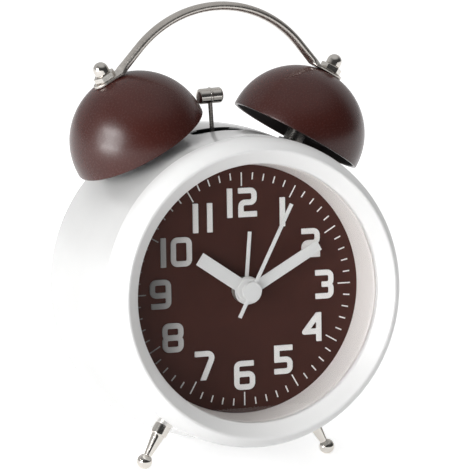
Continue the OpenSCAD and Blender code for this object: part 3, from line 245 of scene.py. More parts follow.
# Mesh pieces
class Shape:
    """Collects vertices and faces in the standing clock's frame, in metres."""

    def __init__(self):
        self.mesh = bmesh.new()

    def lathe(self, profile, place, steps, closed=True):
        """Turns a profile of radius and height about the axis of a place."""
        rings = []
        for r, z in profile:
            if r < 1e-4:
                rings.append([self.mesh.verts.new(place @ Vector((0, 0, z)))])
            else:
                ring = []
                for i in range(steps):
                    a = 2 * math.pi * i / steps
                    point = Vector((r * math.cos(a), r * math.sin(a), z))
                    ring.append(self.mesh.verts.new(place @ point))
                rings.append(ring)
        pairs = list(zip(rings, rings[1:]))
        if closed:
            pairs.append((rings[-1], rings[0]))
        for a, b in pairs:
            for i in range(steps):
                k = (i + 1) % steps
                corners = []
                for v in (a[i % len(a)], a[k % len(a)], b[k % len(b)], b[i % len(b)]):
                    if v not in corners:
                        corners.append(v)
                if len(corners) > 2:
                    self.mesh.faces.new(corners)
        return self

    def prism(self, outline, low, high, place, chamfer=0.0):
        """A straight prism whose top and bottom edges are drawn in by the chamfer."""
        count = len(outline)
        middle = Vector((sum(p[0] for p in outline) / count, sum(p[1] for p in outline) / count))

        def ring(z, inset):
            out = []
            for p in outline:
                q = Vector(p)
                toward = (middle - q).normalized() * inset
                out.append(self.mesh.verts.new(place @ Vector((q[0] + toward[0], q[1] + toward[1], z))))
            return out

        levels = [(low, 0.0), (high, 0.0)]
        if chamfer > 0:
            levels = [(low, chamfer), (low + chamfer, 0.0), (high - chamfer, 0.0), (high, chamfer)]
        rings = [ring(z, inset) for z, inset in levels]
        for a, b in zip(rings, rings[1:]):
            for i in range(count):
                k = (i + 1) % count
                self.mesh.faces.new((a[i], a[k], b[k], b[i]))
        self.mesh.faces.new(rings[0])
        self.mesh.faces.new(rings[-1])
        return self

    def loft(self, sections):
        """Joins closed rings of points, already in the standing clock's frame, and closes both ends."""
        rings = [[self.mesh.verts.new(p) for p in section] for section in sections]
        count = len(rings[0])
        for a, b in zip(rings, rings[1:]):
            for i in range(count):
                k = (i + 1) % count
                self.mesh.faces.new((a[i], a[k], b[k], b[i]))
        self.mesh.faces.new(rings[0])
        self.mesh.faces.new(rings[-1])
        return self

    def band(self, outer, inner, low, high, place):
        """A flat ring between two outlines with the same number of points."""
        rings = []
        for outline, z in ((outer, low), (outer, high), (inner, high), (inner, low)):
            rings.append([self.mesh.verts.new(place @ Vector((p[0], p[1], z))) for p in outline])
        count = len(outer)
        for a, b in zip(rings, rings[1:] + rings[:1]):
            for i in range(count):
                k = (i + 1) % count
                self.mesh.faces.new((a[i], a[k], b[k], b[i]))
        return self

    def make(self, name, sharp=38):
        bmesh.ops.recalc_face_normals(self.mesh, faces=self.mesh.faces)
        mesh = bpy.data.meshes.new(name)
        self.mesh.to_mesh(mesh)
        self.mesh.free()
        piece = bpy.data.objects.new(name, mesh)
        bpy.context.scene.collection.objects.link(piece)
        shade(piece, sharp)
        flat = piece.modifiers.new("normal", "WEIGHTED_NORMAL")
        flat.keep_sharp = True
        return piece


def shade(piece, sharp=38):
    """Smooth faces, with edges sharper than the angle left crisp."""
    work = bmesh.new()
    work.from_mesh(piece.data)
    for face in work.faces:
        face.smooth = True
    for edge in work.edges:
        edge.smooth = len(edge.link_faces) == 2 and edge.calc_face_angle() < math.radians(sharp)
    work.to_mesh(piece.data)
    work.free()


def dress(piece, body, slot, material, *replaced):
    """Gives a new piece its body and material, and hides the solids that it stands for. The slot argument
    is not used.
    """
    piece.data.materials.clear()
    piece.data.materials.append(material)
    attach(piece, body)
    if replaced:
        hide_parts(*replaced)
    return piece


# Middle range of a noise, which is spread over a pair of values
NOISE_LOW = 0.3
NOISE_HIGH = 0.7


def put(tree, kind, **values):
    """New shader node: names that start with in_ are its sockets, the others its settings."""
    made = tree.nodes.new(kind)
    for key, value in values.items():
        if key.startswith("in_"):
            made.inputs[key[3:].replace("_", " ")].default_value = value
        else:
            setattr(made, key, value)
    return made


def new_material(name):
    material = bpy.data.materials.new(name)
    material.use_nodes = True
    tree = material.node_tree
    shader = tree.nodes["Principled BSDF"]
    return material, tree, shader


def noise(tree, place, scale, detail=4.0, stretch=None):
    source = place.outputs["Object"]
    if stretch:
        mapping = put(tree, "ShaderNodeMapping")
        mapping.inputs["Scale"].default_value = stretch
        tree.links.new(source, mapping.inputs["Vector"])
        source = mapping.outputs["Vector"]
    texture = put(tree, "ShaderNodeTexNoise", in_Scale=scale, in_Detail=detail, in_Roughness=0.55)
    tree.links.new(source, texture.inputs["Vector"])
    return texture


def spread(tree, source, low, high):
    """Maps a noise's middle range to a pair of values."""
    ranged = put(tree, "ShaderNodeMapRange", in_From_Min=NOISE_LOW, in_From_Max=NOISE_HIGH, in_To_Min=low,
                 in_To_Max=high)
    tree.links.new(source.outputs["Fac"], ranged.inputs["Value"])
    return ranged


def tint(tree, source, first, second):
    """Colour that drifts between two shades."""
    ramp = put(tree, "ShaderNodeValToRGB")
    ramp.color_ramp.elements[0].position = NOISE_LOW
    ramp.color_ramp.elements[0].color = (*first, 1)
    ramp.color_ramp.elements[1].position = NOISE_HIGH
    ramp.color_ramp.elements[1].color = (*second, 1)
    tree.links.new(source.outputs["Fac"], ramp.inputs["Fac"])
    return ramp


def surface(name, first, second, rough, metallic=0.0, drift=35.0, grain=900.0, depth=0.02, stretch=None,
            coat=0.0, coat_rough=0.08, specular=0.5):
    """Paint, plastic or metal: slow drift of shade and gloss, and a fine grain in the surface."""
    material, tree, shader = new_material(name)
    place = put(tree, "ShaderNodeTexCoord")
    slow = noise(tree, place, drift, 3.0)
    fine = noise(tree, place, grain, 5.0, stretch)
    tree.links.new(tint(tree, slow, first, second).outputs["Color"], shader.inputs["Base Color"])
    tree.links.new(spread(tree, fine, rough[0], rough[1]).outputs["Result"], shader.inputs["Roughness"])
    bump = put(tree, "ShaderNodeBump", in_Strength=depth, in_Distance=0.0002)
    tree.links.new(fine.outputs["Fac"], bump.inputs["Height"])
    tree.links.new(bump.outputs["Normal"], shader.inputs["Normal"])
    shader.inputs["Metallic"].default_value = metallic
    shader.inputs["Specular IOR Level"].default_value = specular
    shader.inputs["Coat Weight"].default_value = coat
    shader.inputs["Coat Roughness"].default_value = coat_rough
    return material


def paint_shade_across(material, left, right, shade_left):
    """Paints shade into a material's colour: darkens it to a share of itself towards the object's left."""
    tree = material.node_tree
    target = tree.nodes["Principled BSDF"].inputs["Base Color"]
    source = target.links[0].from_socket
    place = put(tree, "ShaderNodeTexCoord")
    split = put(tree, "ShaderNodeSeparateXYZ")
    tree.links.new(place.outputs["Object"], split.inputs[0])
    share = put(tree, "ShaderNodeMapRange", interpolation_type="SMOOTHSTEP", in_From_Min=left * MM,
                in_From_Max=right * MM, in_To_Min=shade_left, in_To_Max=1.0)
    tree.links.new(split.outputs["X"], share.inputs["Value"])
    scaled = put(tree, "ShaderNodeVectorMath", operation="SCALE")
    tree.links.new(source, scaled.inputs[0])
    tree.links.new(share.outputs["Result"], scaled.inputs["Scale"])
    tree.links.new(scaled.outputs["Vector"], target)


def combine(tree, operation, first, second):
    joined = put(tree, "ShaderNodeMath", operation=operation)
    tree.links.new(first, joined.inputs[0])
    tree.links.new(second, joined.inputs[1])
    return joined.outputs[0]


def clear_glass(name):
    """Clear lens that lets light pass to what is behind it."""
    material, tree, shader = new_material(name)
    place = put(tree, "ShaderNodeTexCoord")
    smear = noise(tree, place, 60.0, 3.0)
    tree.links.new(spread(tree, smear, 0.0, 0.006).outputs["Result"], shader.inputs["Roughness"])
    shader.inputs["Base Color"].default_value = (0.98, 0.985, 0.985, 1)
    shader.inputs["Transmission Weight"].default_value = 1.0
    shader.inputs["IOR"].default_value = 1.45
    path = put(tree, "ShaderNodeLightPath")
    mirrored = combine(tree, "SUBTRACT", path.outputs["Is Glossy Ray"],
                       path.outputs["Is Transmission Ray"])
    bounced = combine(tree, "MAXIMUM", mirrored, path.outputs["Is Diffuse Ray"])
    either = combine(tree, "MAXIMUM", bounced, path.outputs["Is Shadow Ray"])
    open_air = put(tree, "ShaderNodeBsdfTransparent")
    mixed = put(tree, "ShaderNodeMixShader")
    tree.links.new(either, mixed.inputs["Fac"])
    tree.links.new(shader.outputs[0], mixed.inputs[1])
    tree.links.new(open_air.outputs[0], mixed.inputs[2])
    tree.links.new(mixed.outputs[0], tree.nodes["Material Output"].inputs["Surface"])
    return material


# One white paint in two copies: the drum's and pads' copy is darker, painted shade, and the bezel's copy
# is lighter, painted light
case_white_painted_shade = surface("case_white_painted_shade", (0.75, 0.75, 0.745), (0.79, 0.79, 0.785), (0.30, 0.38),
                      grain=1400.0, depth=0.02, coat=0.7, coat_rough=0.10)
bezel_white_painted_light = surface("bezel_white_painted_light", (0.89, 0.89, 0.885), (0.93, 0.93, 0.925), (0.34, 0.42),
                      grain=1400.0, depth=0.02, coat=0.25, coat_rough=0.30)
white_plastic = surface("white_plastic", (0.82, 0.82, 0.81), (0.87, 0.87, 0.86), (0.42, 0.55),
                        grain=2600.0, depth=0.12)
# The ring's pale plastic is its own colour, and its warm pink tint is painted reflection of the brown dial
pale_plastic_painted_reflection = surface("pale_plastic_painted_reflection", (0.93, 0.885, 0.86), (0.96, 0.915, 0.89), (0.36, 0.46),
                       grain=2000.0, depth=0.01)
dial_paint = surface("dial_paint", (0.058, 0.020, 0.015), (0.070, 0.024, 0.018), (0.42, 0.52),
                     grain=3200.0, depth=0.04, specular=0.12)
bell_paint = surface("bell_paint", (0.050, 0.011, 0.008), (0.064, 0.015, 0.011), (0.23, 0.30),
                     grain=1500.0, depth=0.025, specular=0.45)
bell_inside = surface("bell_inside", (0.010, 0.006, 0.005), (0.016, 0.009, 0.008), (0.5, 0.62),
                      grain=1500.0, depth=0.06)
# Near-black paint for the drum's inside: painted shade for the dark inside of the closed case
case_inside_painted_shade = surface("case_inside_painted_shade", (0.012, 0.012, 0.012), (0.020, 0.020, 0.020), (0.6, 0.7),
                      grain=1500.0, depth=0.06)
print_paint_painted_shade = surface("print_paint_painted_shade", (0.96, 0.95, 0.935), (0.985, 0.975, 0.96), (0.26, 0.34),
                      grain=2600.0, depth=0.01)
# Painted shade on the numerals: their print darkens towards the dial's left, where the bezel shades them
paint_shade_across(print_paint_painted_shade, left=-36.0, right=-13.0, shade_left=0.17)
hand_paint = surface("hand_paint", (0.86, 0.86, 0.855), (0.90, 0.90, 0.895), (0.30, 0.40),
                     grain=2200.0, depth=0.04)
nickel = surface("nickel", (0.60, 0.57, 0.53), (0.68, 0.65, 0.61), (0.07, 0.15),
                 metallic=1.0, drift=60.0, grain=700.0, depth=0.03, stretch=(1.0, 1.0, 6.0))
dark_nickel = surface("dark_nickel", (0.16, 0.15, 0.14), (0.22, 0.21, 0.195), (0.22, 0.34),
                      metallic=1.0, drift=60.0, grain=900.0, depth=0.05, stretch=(1.0, 1.0, 6.0))
brushed_nickel = surface("brushed_nickel", (0.50, 0.465, 0.43), (0.60, 0.565, 0.525), (0.20, 0.38),
                         metallic=1.0, drift=60.0, grain=2400.0, depth=0.10, stretch=(1.0, 0.06, 1.0))
steel = surface("steel", (0.48, 0.48, 0.49), (0.58, 0.58, 0.59), (0.25, 0.42),
                metallic=1.0, grain=900.0, depth=0.06, stretch=(8.0, 1.0, 1.0))
brass = surface("brass", (0.62, 0.42, 0.16), (0.72, 0.50, 0.20), (0.2, 0.34),
                metallic=1.0, grain=1200.0, depth=0.04)
copper = surface("copper", (0.45, 0.17, 0.07), (0.58, 0.24, 0.11), (0.22, 0.36),
                 metallic=0.85, grain=260.0, depth=0.5, stretch=(1.0, 1.0, 9.0))
gear_plastic = surface("gear_plastic", (0.72, 0.67, 0.54), (0.80, 0.75, 0.62), (0.4, 0.55),
                       grain=2600.0, depth=0.06)
black_plastic = surface("black_plastic", (0.018, 0.018, 0.019), (0.030, 0.030, 0.031), (0.42, 0.58),
                        grain=2400.0, depth=0.14)
board_green = surface("board_green", (0.008, 0.062, 0.022), (0.012, 0.085, 0.032), (0.28, 0.44),
                      grain=500.0, depth=0.12)
battery_skin = surface("battery_skin", (0.020, 0.024, 0.030), (0.034, 0.040, 0.048), (0.22, 0.34),
                       metallic=0.4, grain=1800.0, depth=0.03)
lead_skin = surface("lead_skin", (0.36, 0.016, 0.014), (0.46, 0.024, 0.020), (0.4, 0.55),
                    grain=1800.0, depth=0.06)
mark_ink = surface("mark_ink", (0.050, 0.050, 0.052), (0.070, 0.070, 0.072), (0.5, 0.62),
                   grain=2400.0, depth=0.05)
lens_glass = clear_glass("lens_glass")

slot_material = {"white_shell": case_white_painted_shade, "white_plastic": white_plastic, "pale_ring": pale_plastic_painted_reflection,
                 "clear_lens": lens_glass, "brown_dial": dial_paint, "silver_print": print_paint_painted_shade,
                 "white_hands": hand_paint, "brown_bell": bell_paint, "dark_post": dark_nickel,
                 "nickel": nickel, "steel": steel, "brass_pinion": brass, "gear_plastic": gear_plastic,
                 "black_plastic": black_plastic, "copper": copper, "board": board_green,
                 "battery_skin": battery_skin, "lead_skin": lead_skin}
for entry in frame["record"]["subparts"]:
    solid = nodes[entry["node"]]
    solid.data.materials.clear()
    solid.data.materials.append(slot_material[entry["material_slot"]])


WELD_REACH = 0.000002
BEVEL_ANGLE = 35


def soften_solid(name, width):
    """Small bevel along a solid's crisp edges, by modifiers alone."""
    solid = nodes[name]
    weld = solid.modifiers.new("weld", "WELD")
    weld.merge_threshold = WELD_REACH
    bevel = solid.modifiers.new("bevel", "BEVEL")
    bevel.width = width * MM
    bevel.segments = 2
    bevel.limit_method = "ANGLE"
    bevel.angle_limit = math.radians(BEVEL_ANGLE)
    normal = solid.modifiers.new("normal", "WEIGHTED_NORMAL")
    normal.keep_sharp = True


def cut(piece, cutter, operation="DIFFERENCE"):
    """Cuts a new piece with another, which is used up."""
    change = piece.modifiers.new("cut", "BOOLEAN")
    change.operation = operation
    change.solver = "EXACT"
    change.object = cutter
    bpy.context.view_layer.update()
    shown = piece.evaluated_get(bpy.context.evaluated_depsgraph_get())
    done = bpy.data.meshes.new_from_object(shown)
    piece.modifiers.clear()
    piece.data = done
    bpy.data.objects.remove(cutter)


def slot_outline(grow):
    """Long hole with round ends, widened on all sides."""
    half = SLOT_LENGTH / 2 - SLOT_WIDTH / 2
    r = SLOT_WIDTH / 2 + grow
    outline = [(half + x, y) for x, y in arc(0, 0, r, -90, 90, 20)]
    return outline + [(-half + x, y) for x, y in arc(0, 0, r, 90, 270, 20)]


# Case: flared drum with a slot in its top, thinned from inside to a narrow edge
def build_drum():
    outer = []
    steps = 48
    for i in range(steps + 1):
        depth = -SEAM + (FLARE_END + SEAM) * i / steps
        outer.append((case_r(depth), -depth))
    outer[0] = (outer[0][0] - SEAM_CUT, SEAM)
    outer.insert(1, (case_r(-SEAM), SEAM - SEAM_EDGE))
    rim = arc(CASE_REAR_R - RIM_ROUND, -(CASE_DEPTH - RIM_ROUND), RIM_ROUND, 0, -90, 10)
    rear_inner = CASE_REAR_R - CASE_WALL
    step_r = rear_inner - COVER_STEP
    step_z = COVER_FRONT + COVER_STEP
    ledge_rear = LEDGE_THICKNESS - DIAL_BACK
    inner = []
    for i in range(steps + 1):
        depth = FLARE_END + (ledge_rear - FLARE_END) * i / steps
        inner.append((case_r(depth) - CASE_WALL, -depth))
    profile = outer + rim + [(rear_inner, -CASE_DEPTH), (rear_inner, COVER_FRONT), (step_r, COVER_FRONT),
                             (step_r, step_z), (rear_inner, step_z)]
    profile += inner + [(LEDGE_R, -ledge_rear), (LEDGE_R, DIAL_BACK),
                        (case_r(-DIAL_BACK) - CASE_WALL, DIAL_BACK), (case_r(-SEAM) - CASE_WALL, SEAM)]
    turned = Shape().lathe(profile, FACE, ROUND_CASE).make("case_drum", CRISP)
    slot_place = (FACE @ Matrix.Translation((-SLOT_OFFSET, CASE_FRONT_R - SLOT_CUT_START, -SLOT_DEPTH))
                  @ Matrix.Rotation(math.radians(-90), 4, "X"))
    cut(turned, Shape().prism(slot_outline(0.0), 0, SLOT_CUT, slot_place).make("slot_cutter"))
    skin = [(case_r(depth) - SLOT_EDGE, -depth) for depth in range(RELIEF_FRONT, RELIEF_REAR + 1)]
    core = Shape().lathe([(0, -RELIEF_FRONT)] + skin + [(0, -RELIEF_REAR)], FACE, ROUND_CASE, closed=False)
    relief = Shape().prism(slot_outline(SLOT_RELIEF), 0, SLOT_CUT, slot_place).make("slot_relief")
    cut(relief, core.make("relief_shell"), "INTERSECT")
    cut(turned, relief)
    shade(turned, CRISP)
    return turned


def paint_inside(piece, material, inside):
    """Second material for the faces whose middle passes the test."""
    piece.data.materials.append(material)
    for face in piece.data.polygons:
        if inside(face.center):
            face.material_index = 1


INSIDE_REAR = -38
INSIDE_FRONT = -1
INSIDE_MARGIN = 0.8 * SLOT_EDGE


def inside_case(point):
    """True for a point behind the drum's skin, between the dial and the rear cover: the faces that get
    painted shade.
    """
    local = FACE.inverted() @ point
    limit = case_r(-local.z) - INSIDE_MARGIN
    return INSIDE_REAR < local.z < INSIDE_FRONT and math.hypot(local.x, local.y) < limit


drum = dress(build_drum(), "case", "white_shell", case_white_painted_shade, "drum_case")
# Painted shade on the faces inside the drum
paint_inside(drum, case_inside_painted_shade, inside_case)

# Mounting pads of the bells
stud_rise = CASE_REAR_R * math.cos(math.radians(BELL_ANGLE))
stud_depth = BELL_PLANE - stud_rise * math.sin(math.radians(BELL_TILT))
pad_low = case_r(stud_depth - PAD_R) - CASE_WALL - PAD_SINK
pad_top = case_r(stud_depth + PAD_R) + PAD_PROUD
pad_profile = [(STUD_R, pad_low), (PAD_R, pad_low), (PAD_R, pad_top, EDGE), (STUD_R, pad_top)]
pads = Shape()
for side in (-1, 1):
    pads.lathe(soften(pad_profile), on_bell(side), ROUND_SMALL)
dress(pads.make("bell_pads"), "case", "white_shell", case_white_painted_shade)

# Bezel with its funnel, and the lens behind it
shoulder = bezel_shoulder(28)
shoulder[-1] = (BEZEL_FRONT_R, BEZEL_HEIGHT, 0.6)
bezel_profile = [(CASE_FRONT_R - SEAM_CUT, SEAM), (CASE_FRONT_R, SEAM + SEAM_EDGE)] + shoulder
bezel_profile += [(BEZEL_FRONT_R - BEZEL_EDGE, BEZEL_HEIGHT, 0.5), (LIP_R, LIP_FRONT, 0.6),
                  (LIP_R, LENS_FRONT, 0.2), (SLEEVE_R, LENS_FRONT), (SLEEVE_R, SLEEVE_LOW),
                  (SLEEVE_OUTER_R, SLEEVE_LOW), (SLEEVE_OUTER_R, HOLLOW_TOP), (SPIGOT_INNER_R, HOLLOW_TOP),
                  (SPIGOT_INNER_R, SPIGOT_LOW), (SPIGOT_R, SPIGOT_LOW), (SPIGOT_R, SEAM)]
bezel = Shape().lathe(soften(bezel_profile), FACE, ROUND_CASE).make("bezel_ring", CRISP)
dress(bezel, "case", "white_shell", bezel_white_painted_light, "front_bezel")
lens_profile = [(0, LENS_BACK), (GLASS_R - 0.6, LENS_BACK), (GLASS_R, LENS_BACK, 0.2),
                (GLASS_R, LENS_FRONT, 0.2), (GLASS_R - 0.6, LENS_FRONT), (0, LENS_FRONT)]
lens = Shape().lathe(soften(lens_profile, closed=False), FACE, ROUND_DIAL, closed=False)
dress(lens.make("lens_disc", CRISP), "case", "clear_lens", lens_glass, "lens")
ring_profile = [(REHAUT_DIAL_R, 0.0), (GLASS_R, 0.0), (GLASS_R, LENS_BACK), (LIP_R - 0.2, LENS_BACK, EDGE)]
ring = Shape().lathe(soften(ring_profile), FACE, ROUND_CASE).make("dial_surround", CRISP)
dress(ring, "case", "pale_ring", pale_plastic_painted_reflection, "rehaut_ring")
dial_profile = [(BUSH_R, DIAL_BACK), (GLASS_R, DIAL_BACK), (GLASS_R, 0.0, 0.1), (GLASS_R - 0.4, 0.0),
                (BUSH_R + 0.4, 0.0), (BUSH_R, 0.0, 0.1)]
dial = Shape().lathe(soften(dial_profile), FACE, ROUND_DIAL).make("dial_disc", CRISP)
dress(dial, "case", "brown_dial", dial_paint, "dial_plate")
soften_solid("dial_numerals", 0.3)
soften_solid("dial_ticks", 0.04)
for name in ("hour_hand", "minute_hand", "second_hand", "alarm_hand"):
    soften_solid(name, 0.12)


# Bells
def build_bell(name, node, side):
    steps = 48
    inner_r = BELL_R - BELL_WALL
    top = math.degrees(math.acos((BELL_TOP - DOME) / BELL_R))
    outer = [(BELL_R * math.sin(math.radians(a)), DOME + BELL_R * math.cos(math.radians(a)))
             for a in [top + (90 - top) * i / steps for i in range(steps + 1)]]
    bore = math.degrees(math.asin(STUD_R / inner_r))
    inner = [(inner_r * math.sin(math.radians(a)), DOME + inner_r * math.cos(math.radians(a)))
             for a in [90 - (90 - bore) * i / steps for i in range(steps + 1)]]
    lip = [(BELL_R, BELL_RIM, BELL_LIP_ROUND), (inner_r, BELL_RIM, BELL_LIP_ROUND)]
    profile = [(STUD_R, BELL_TOP)] + outer + lip + inner
    place = on_bell(side)
    bell = Shape().lathe(soften(profile), place, ROUND_DIAL).make(name, CRISP)
    dress(bell, "case", "brown_bell", bell_paint, node)
    middle = place @ Vector((0, 0, DOME))
    out = place.inverted()

    def inside_bell(point):
        near = (point - middle).length < (BELL_R - BELL_WALL / 2) * MM
        return near and (out @ point).z > BELL_RIM + 0.4

    paint_inside(bell, bell_inside, inside_bell)


build_bell("bell_left", "left_bell", -1)
build_bell("bell_right", "right_bell", 1)

# Posts under the bells
post_top = DOME + math.sqrt((BELL_R - BELL_WALL) ** 2 - POST_R ** 2) - 0.05
post_profile = [(STUD_R, pad_top), (POST_R, pad_top, EDGE), (POST_R, post_top, EDGE), (STUD_R, post_top)]
posts = Shape()
for side in (-1, 1):
    posts.lathe(soften(post_profile), on_bell(side), ROUND_SMALL)
dress(posts.make("bell_posts"), "case", "dark_post", dark_nickel, "bell_spacers")


# Handle: one strip that flattens at its ends, over a short way before the root of each tab
FLATTEN_START = 2.6
FLATTEN_LENGTH = 3.2
TIP_HALF = 0.35
ARCH_STEPS = 40
LEG_STEPS = 30
TAB_STEPS = 48
SECTION_POINTS = 40


def build_handle():
    level = BELL_TOP + TAB_THICKNESS / 2
    lean = math.radians(BELL_ANGLE)
    stud = Vector((level * math.sin(lean), level * math.cos(lean)))
    along = Vector((math.cos(lean), -math.sin(lean)))
    root = stud - along * TAB_INNER
    arch_r = root[0] + ARCH_EASE
    centre = root[1] + HANDLE_RISE - HANDLE_THICKNESS / 2 - arch_r
    reach = Vector((root[0], root[1] - centre)).length
    half = math.atan2(root[0], root[1] - centre) - math.acos(arch_r / reach)
    path = []
    for i in range(ARCH_STEPS + 1):
        a = half * i / ARCH_STEPS
        path.append(Vector((arch_r * math.sin(a), centre + arch_r * math.cos(a))))
    start = path[-1]
    for i in range(1, LEG_STEPS + 1):
        path.append(start + (root - start) * i / LEG_STEPS)
    tip = stud + along * TAB_OUTER
    for i in range(1, TAB_STEPS + 1):
        path.append(root + (tip - root) * i / TAB_STEPS)
    lengths = [0.0]
    for a, b in zip(path, path[1:]):
        lengths.append(lengths[-1] + (b - a).length)
    root_at = lengths[ARCH_STEPS + LEG_STEPS]
    round_at = lengths[-1] - TAB_WIDTH / 2
    sections = []
    for i, p in enumerate(path):
        before = path[max(0, i - 3)]
        after = path[min(len(path) - 1, i + 3)]
        tangent = (after - before).normalized()
        if i == 0:
            tangent = Vector((1, 0))
        normal = Vector((-tangent[1], tangent[0]))
        flat = smooth_step((lengths[i] - (root_at - FLATTEN_START)) / FLATTEN_LENGTH)
        thick = HANDLE_THICKNESS / 2 * (1 - flat) + TAB_THICKNESS / 2 * flat
        wide = HANDLE_WIDTH / 2 * (1 - flat) + TAB_WIDTH / 2 * flat
        if lengths[i] > round_at:
            left = min(1.0, (lengths[i] - round_at) / (TAB_WIDTH / 2))
            wide = max(TIP_HALF, wide * math.sqrt(max(0.0, 1 - left * left)))
        power = 2.0 / (2.0 + 5.0 * flat)
        section = []
        for k in range(SECTION_POINTS):
            a = 2 * math.pi * k / SECTION_POINTS
            c, s = math.cos(a), math.sin(a)
            n = thick * math.copysign(abs(c) ** power, c)
            w = wide * math.copysign(abs(s) ** power, s)
            section.append((p[0] + normal[0] * n, p[1] + normal[1] * n, w))
        sections.append(section)
    full = [[(-x, y, z) for x, y, z in section] for section in reversed(sections[1:])] + sections
    placed = [[BELL_FRAME @ Vector(q) for q in section] for section in full]
    return Shape().loft(placed).make("handle_strip", 50)


dress(build_handle(), "case", "nickel", brushed_nickel, "handle")

# Cap nuts on the bells: hexagon, neck and dome
nut_top = TAB_TOP + NUT_HEX
nut_neck = nut_top + NUT_NECK
hexagon = [(NUT_R * math.cos(math.radians(60 * i)), NUT_R * math.sin(math.radians(60 * i)))
           for i in range(6)]
cap = [(0, nut_top - EDGE), (NUT_DOME_R - NUT_WAIST, nut_top - EDGE),
       (NUT_DOME_R - NUT_WAIST, nut_top + 0.15), (NUT_DOME_R, nut_top + NUT_WAIST)]
cap += arc(0, nut_neck, NUT_DOME_R, 0, 84, 20) + [(0, nut_neck + NUT_DOME_R)]
nuts = Shape()
for side, turned in ((-1, 0), (1, -16)):
    nut_place = on_bell(side) @ Matrix.Rotation(math.radians(turned), 4, "Z")
    nuts.prism(hexagon, TAB_TOP, nut_top, nut_place, NUT_CHAMFER)
    nuts.lathe(cap, nut_place, ROUND_SMALL, closed=False)
dress(nuts.make("cap_nuts"), "case", "nickel", nickel, "acorn_nuts")

# Hammer: rounded head with a bead round its middle, square on a thin rod
swing = math.atan2(HEAD_OFFSET - PIVOT_OFFSET, HEAD_HEIGHT - PIVOT_HEIGHT)
rod_end = math.hypot(HEAD_OFFSET - PIVOT_OFFSET, HEAD_HEIGHT - PIVOT_HEIGHT)
rod_place = (FACE @ Matrix.Translation((-PIVOT_OFFSET, PIVOT_HEIGHT, -HAMMER_DEPTH))
             @ Matrix.Rotation(swing, 4, "Z") @ Matrix.Rotation(math.radians(-90), 4, "X"))
head_place = rod_place @ Matrix.Translation((0, 0, rod_end)) @ Matrix.Rotation(math.radians(90), 4, "Y")
head_corner = arc(HEAD_R - HEAD_ROUND, HEAD_HALF - HEAD_ROUND, HEAD_ROUND, 0, 90, 10)
head_side = [(0, HEAD_HALF)] + list(reversed(head_corner))
head_side += [(HEAD_R, BEAD_HALF, 0.15), (HEAD_R + BEAD_PROUD, BEAD_HALF / 2, 0.15)]
head_profile = [(p[0], -p[1], *p[2:]) for p in head_side] + list(reversed(head_side))
head = Shape().lathe(soften(head_profile, closed=False), head_place, ROUND_HEAD, closed=False)
dress(head.make("hammer_knob", CRISP), "hammer", "nickel", nickel, "hammer_head")
rod_top = rod_end - ROD_SEAT
rod = Shape().lathe([(0, ROD_START), (ROD_R, ROD_START), (ROD_R, rod_top), (0, rod_top)], rod_place, 40,
                    closed=False)
dress(rod.make("hammer_stem", CRISP), "hammer", "nickel", brushed_nickel, "hammer_rod")


# Feet
def build_foot(name, node, side):
    ankle = FOOT_REACH - BALL_R + 0.25
    collar_end = COLLAR_BASE + COLLAR_LENGTH
    stem = [(0, SHANK_TOP), (SHANK_R, SHANK_TOP, EDGE), (SHANK_R, COLLAR_BASE), (COLLAR_R, COLLAR_BASE),
            (COLLAR_R, collar_end, 0.5), (SHOULDER_R, collar_end, 0.1), (TAPER_R, collar_end + 0.4, EDGE),
            (ANKLE_R, ankle, 0.2)]
    ball = arc(0, FOOT_REACH, BALL_R, -60, 90, 40)
    below = [p for p in ball[:-1] if p[0] > ANKLE_R or p[1] > FOOT_REACH]
    profile = soften(stem, closed=False) + below + [(0, ball[-1][1])]
    foot = Shape().lathe(profile, radial(180 - side * FOOT_ANGLE, FOOT_DEPTH), 72, closed=False)
    for vert in foot.mesh.verts:
        vert.co.z = max(vert.co.z, 0.0)
    dress(foot.make(name, CRISP), "case", "nickel", nickel, node)


build_foot("foot_left", "left_foot", -1)
build_foot("foot_right", "right_foot", 1)

# Rear: small bevels on the moulded parts
for name in ("rear_cover", "battery_door", "alarm_switch"):
    soften_solid(name, 0.25)
for name in ("time_set_knob", "alarm_set_knob"):
    soften_solid(name, 0.2)

# Height of the printed marks, and places on the rear cover
MARK = 0.25
TIME_X = -8.75
ALARM_X = 9.0
KNOB_END = 7.0
SCREW_AT = CASE_REAR_R - CASE_WALL - 3.7
SWITCH_Y = -13.0
SIGN_Y = 13.0
POLE_X = 20.0
POLE_Y = -32.0
ARROW_Y = -33.5
ON_OFF_X = 9.0


def rear(x, y, depth=0.0):
    """Place on the outside of the rear cover, with its axis pointing away from the clock."""
    return FACE @ Matrix.Translation((x, y, COVER_BACK - depth)) @ Matrix.Rotation(math.pi, 4, "Y")


def rounded(half_x, half_y, r):
    """Outline of a rectangle with round corners."""
    outline = []
    for x, y, start in ((1, 1, 0), (-1, 1, 90), (-1, -1, 180), (1, -1, 270)):
        outline += arc(x * (half_x - r), y * (half_y - r), r, start, start + 90, 6)
    return outline


def bar(half_x, half_y, x=0.0, y=0.0):
    """Outline of a plain rectangle about a point."""
    return [(x + half_x, y - half_y), (x + half_x, y + half_y),
            (x - half_x, y + half_y), (x - half_x, y - half_y)]


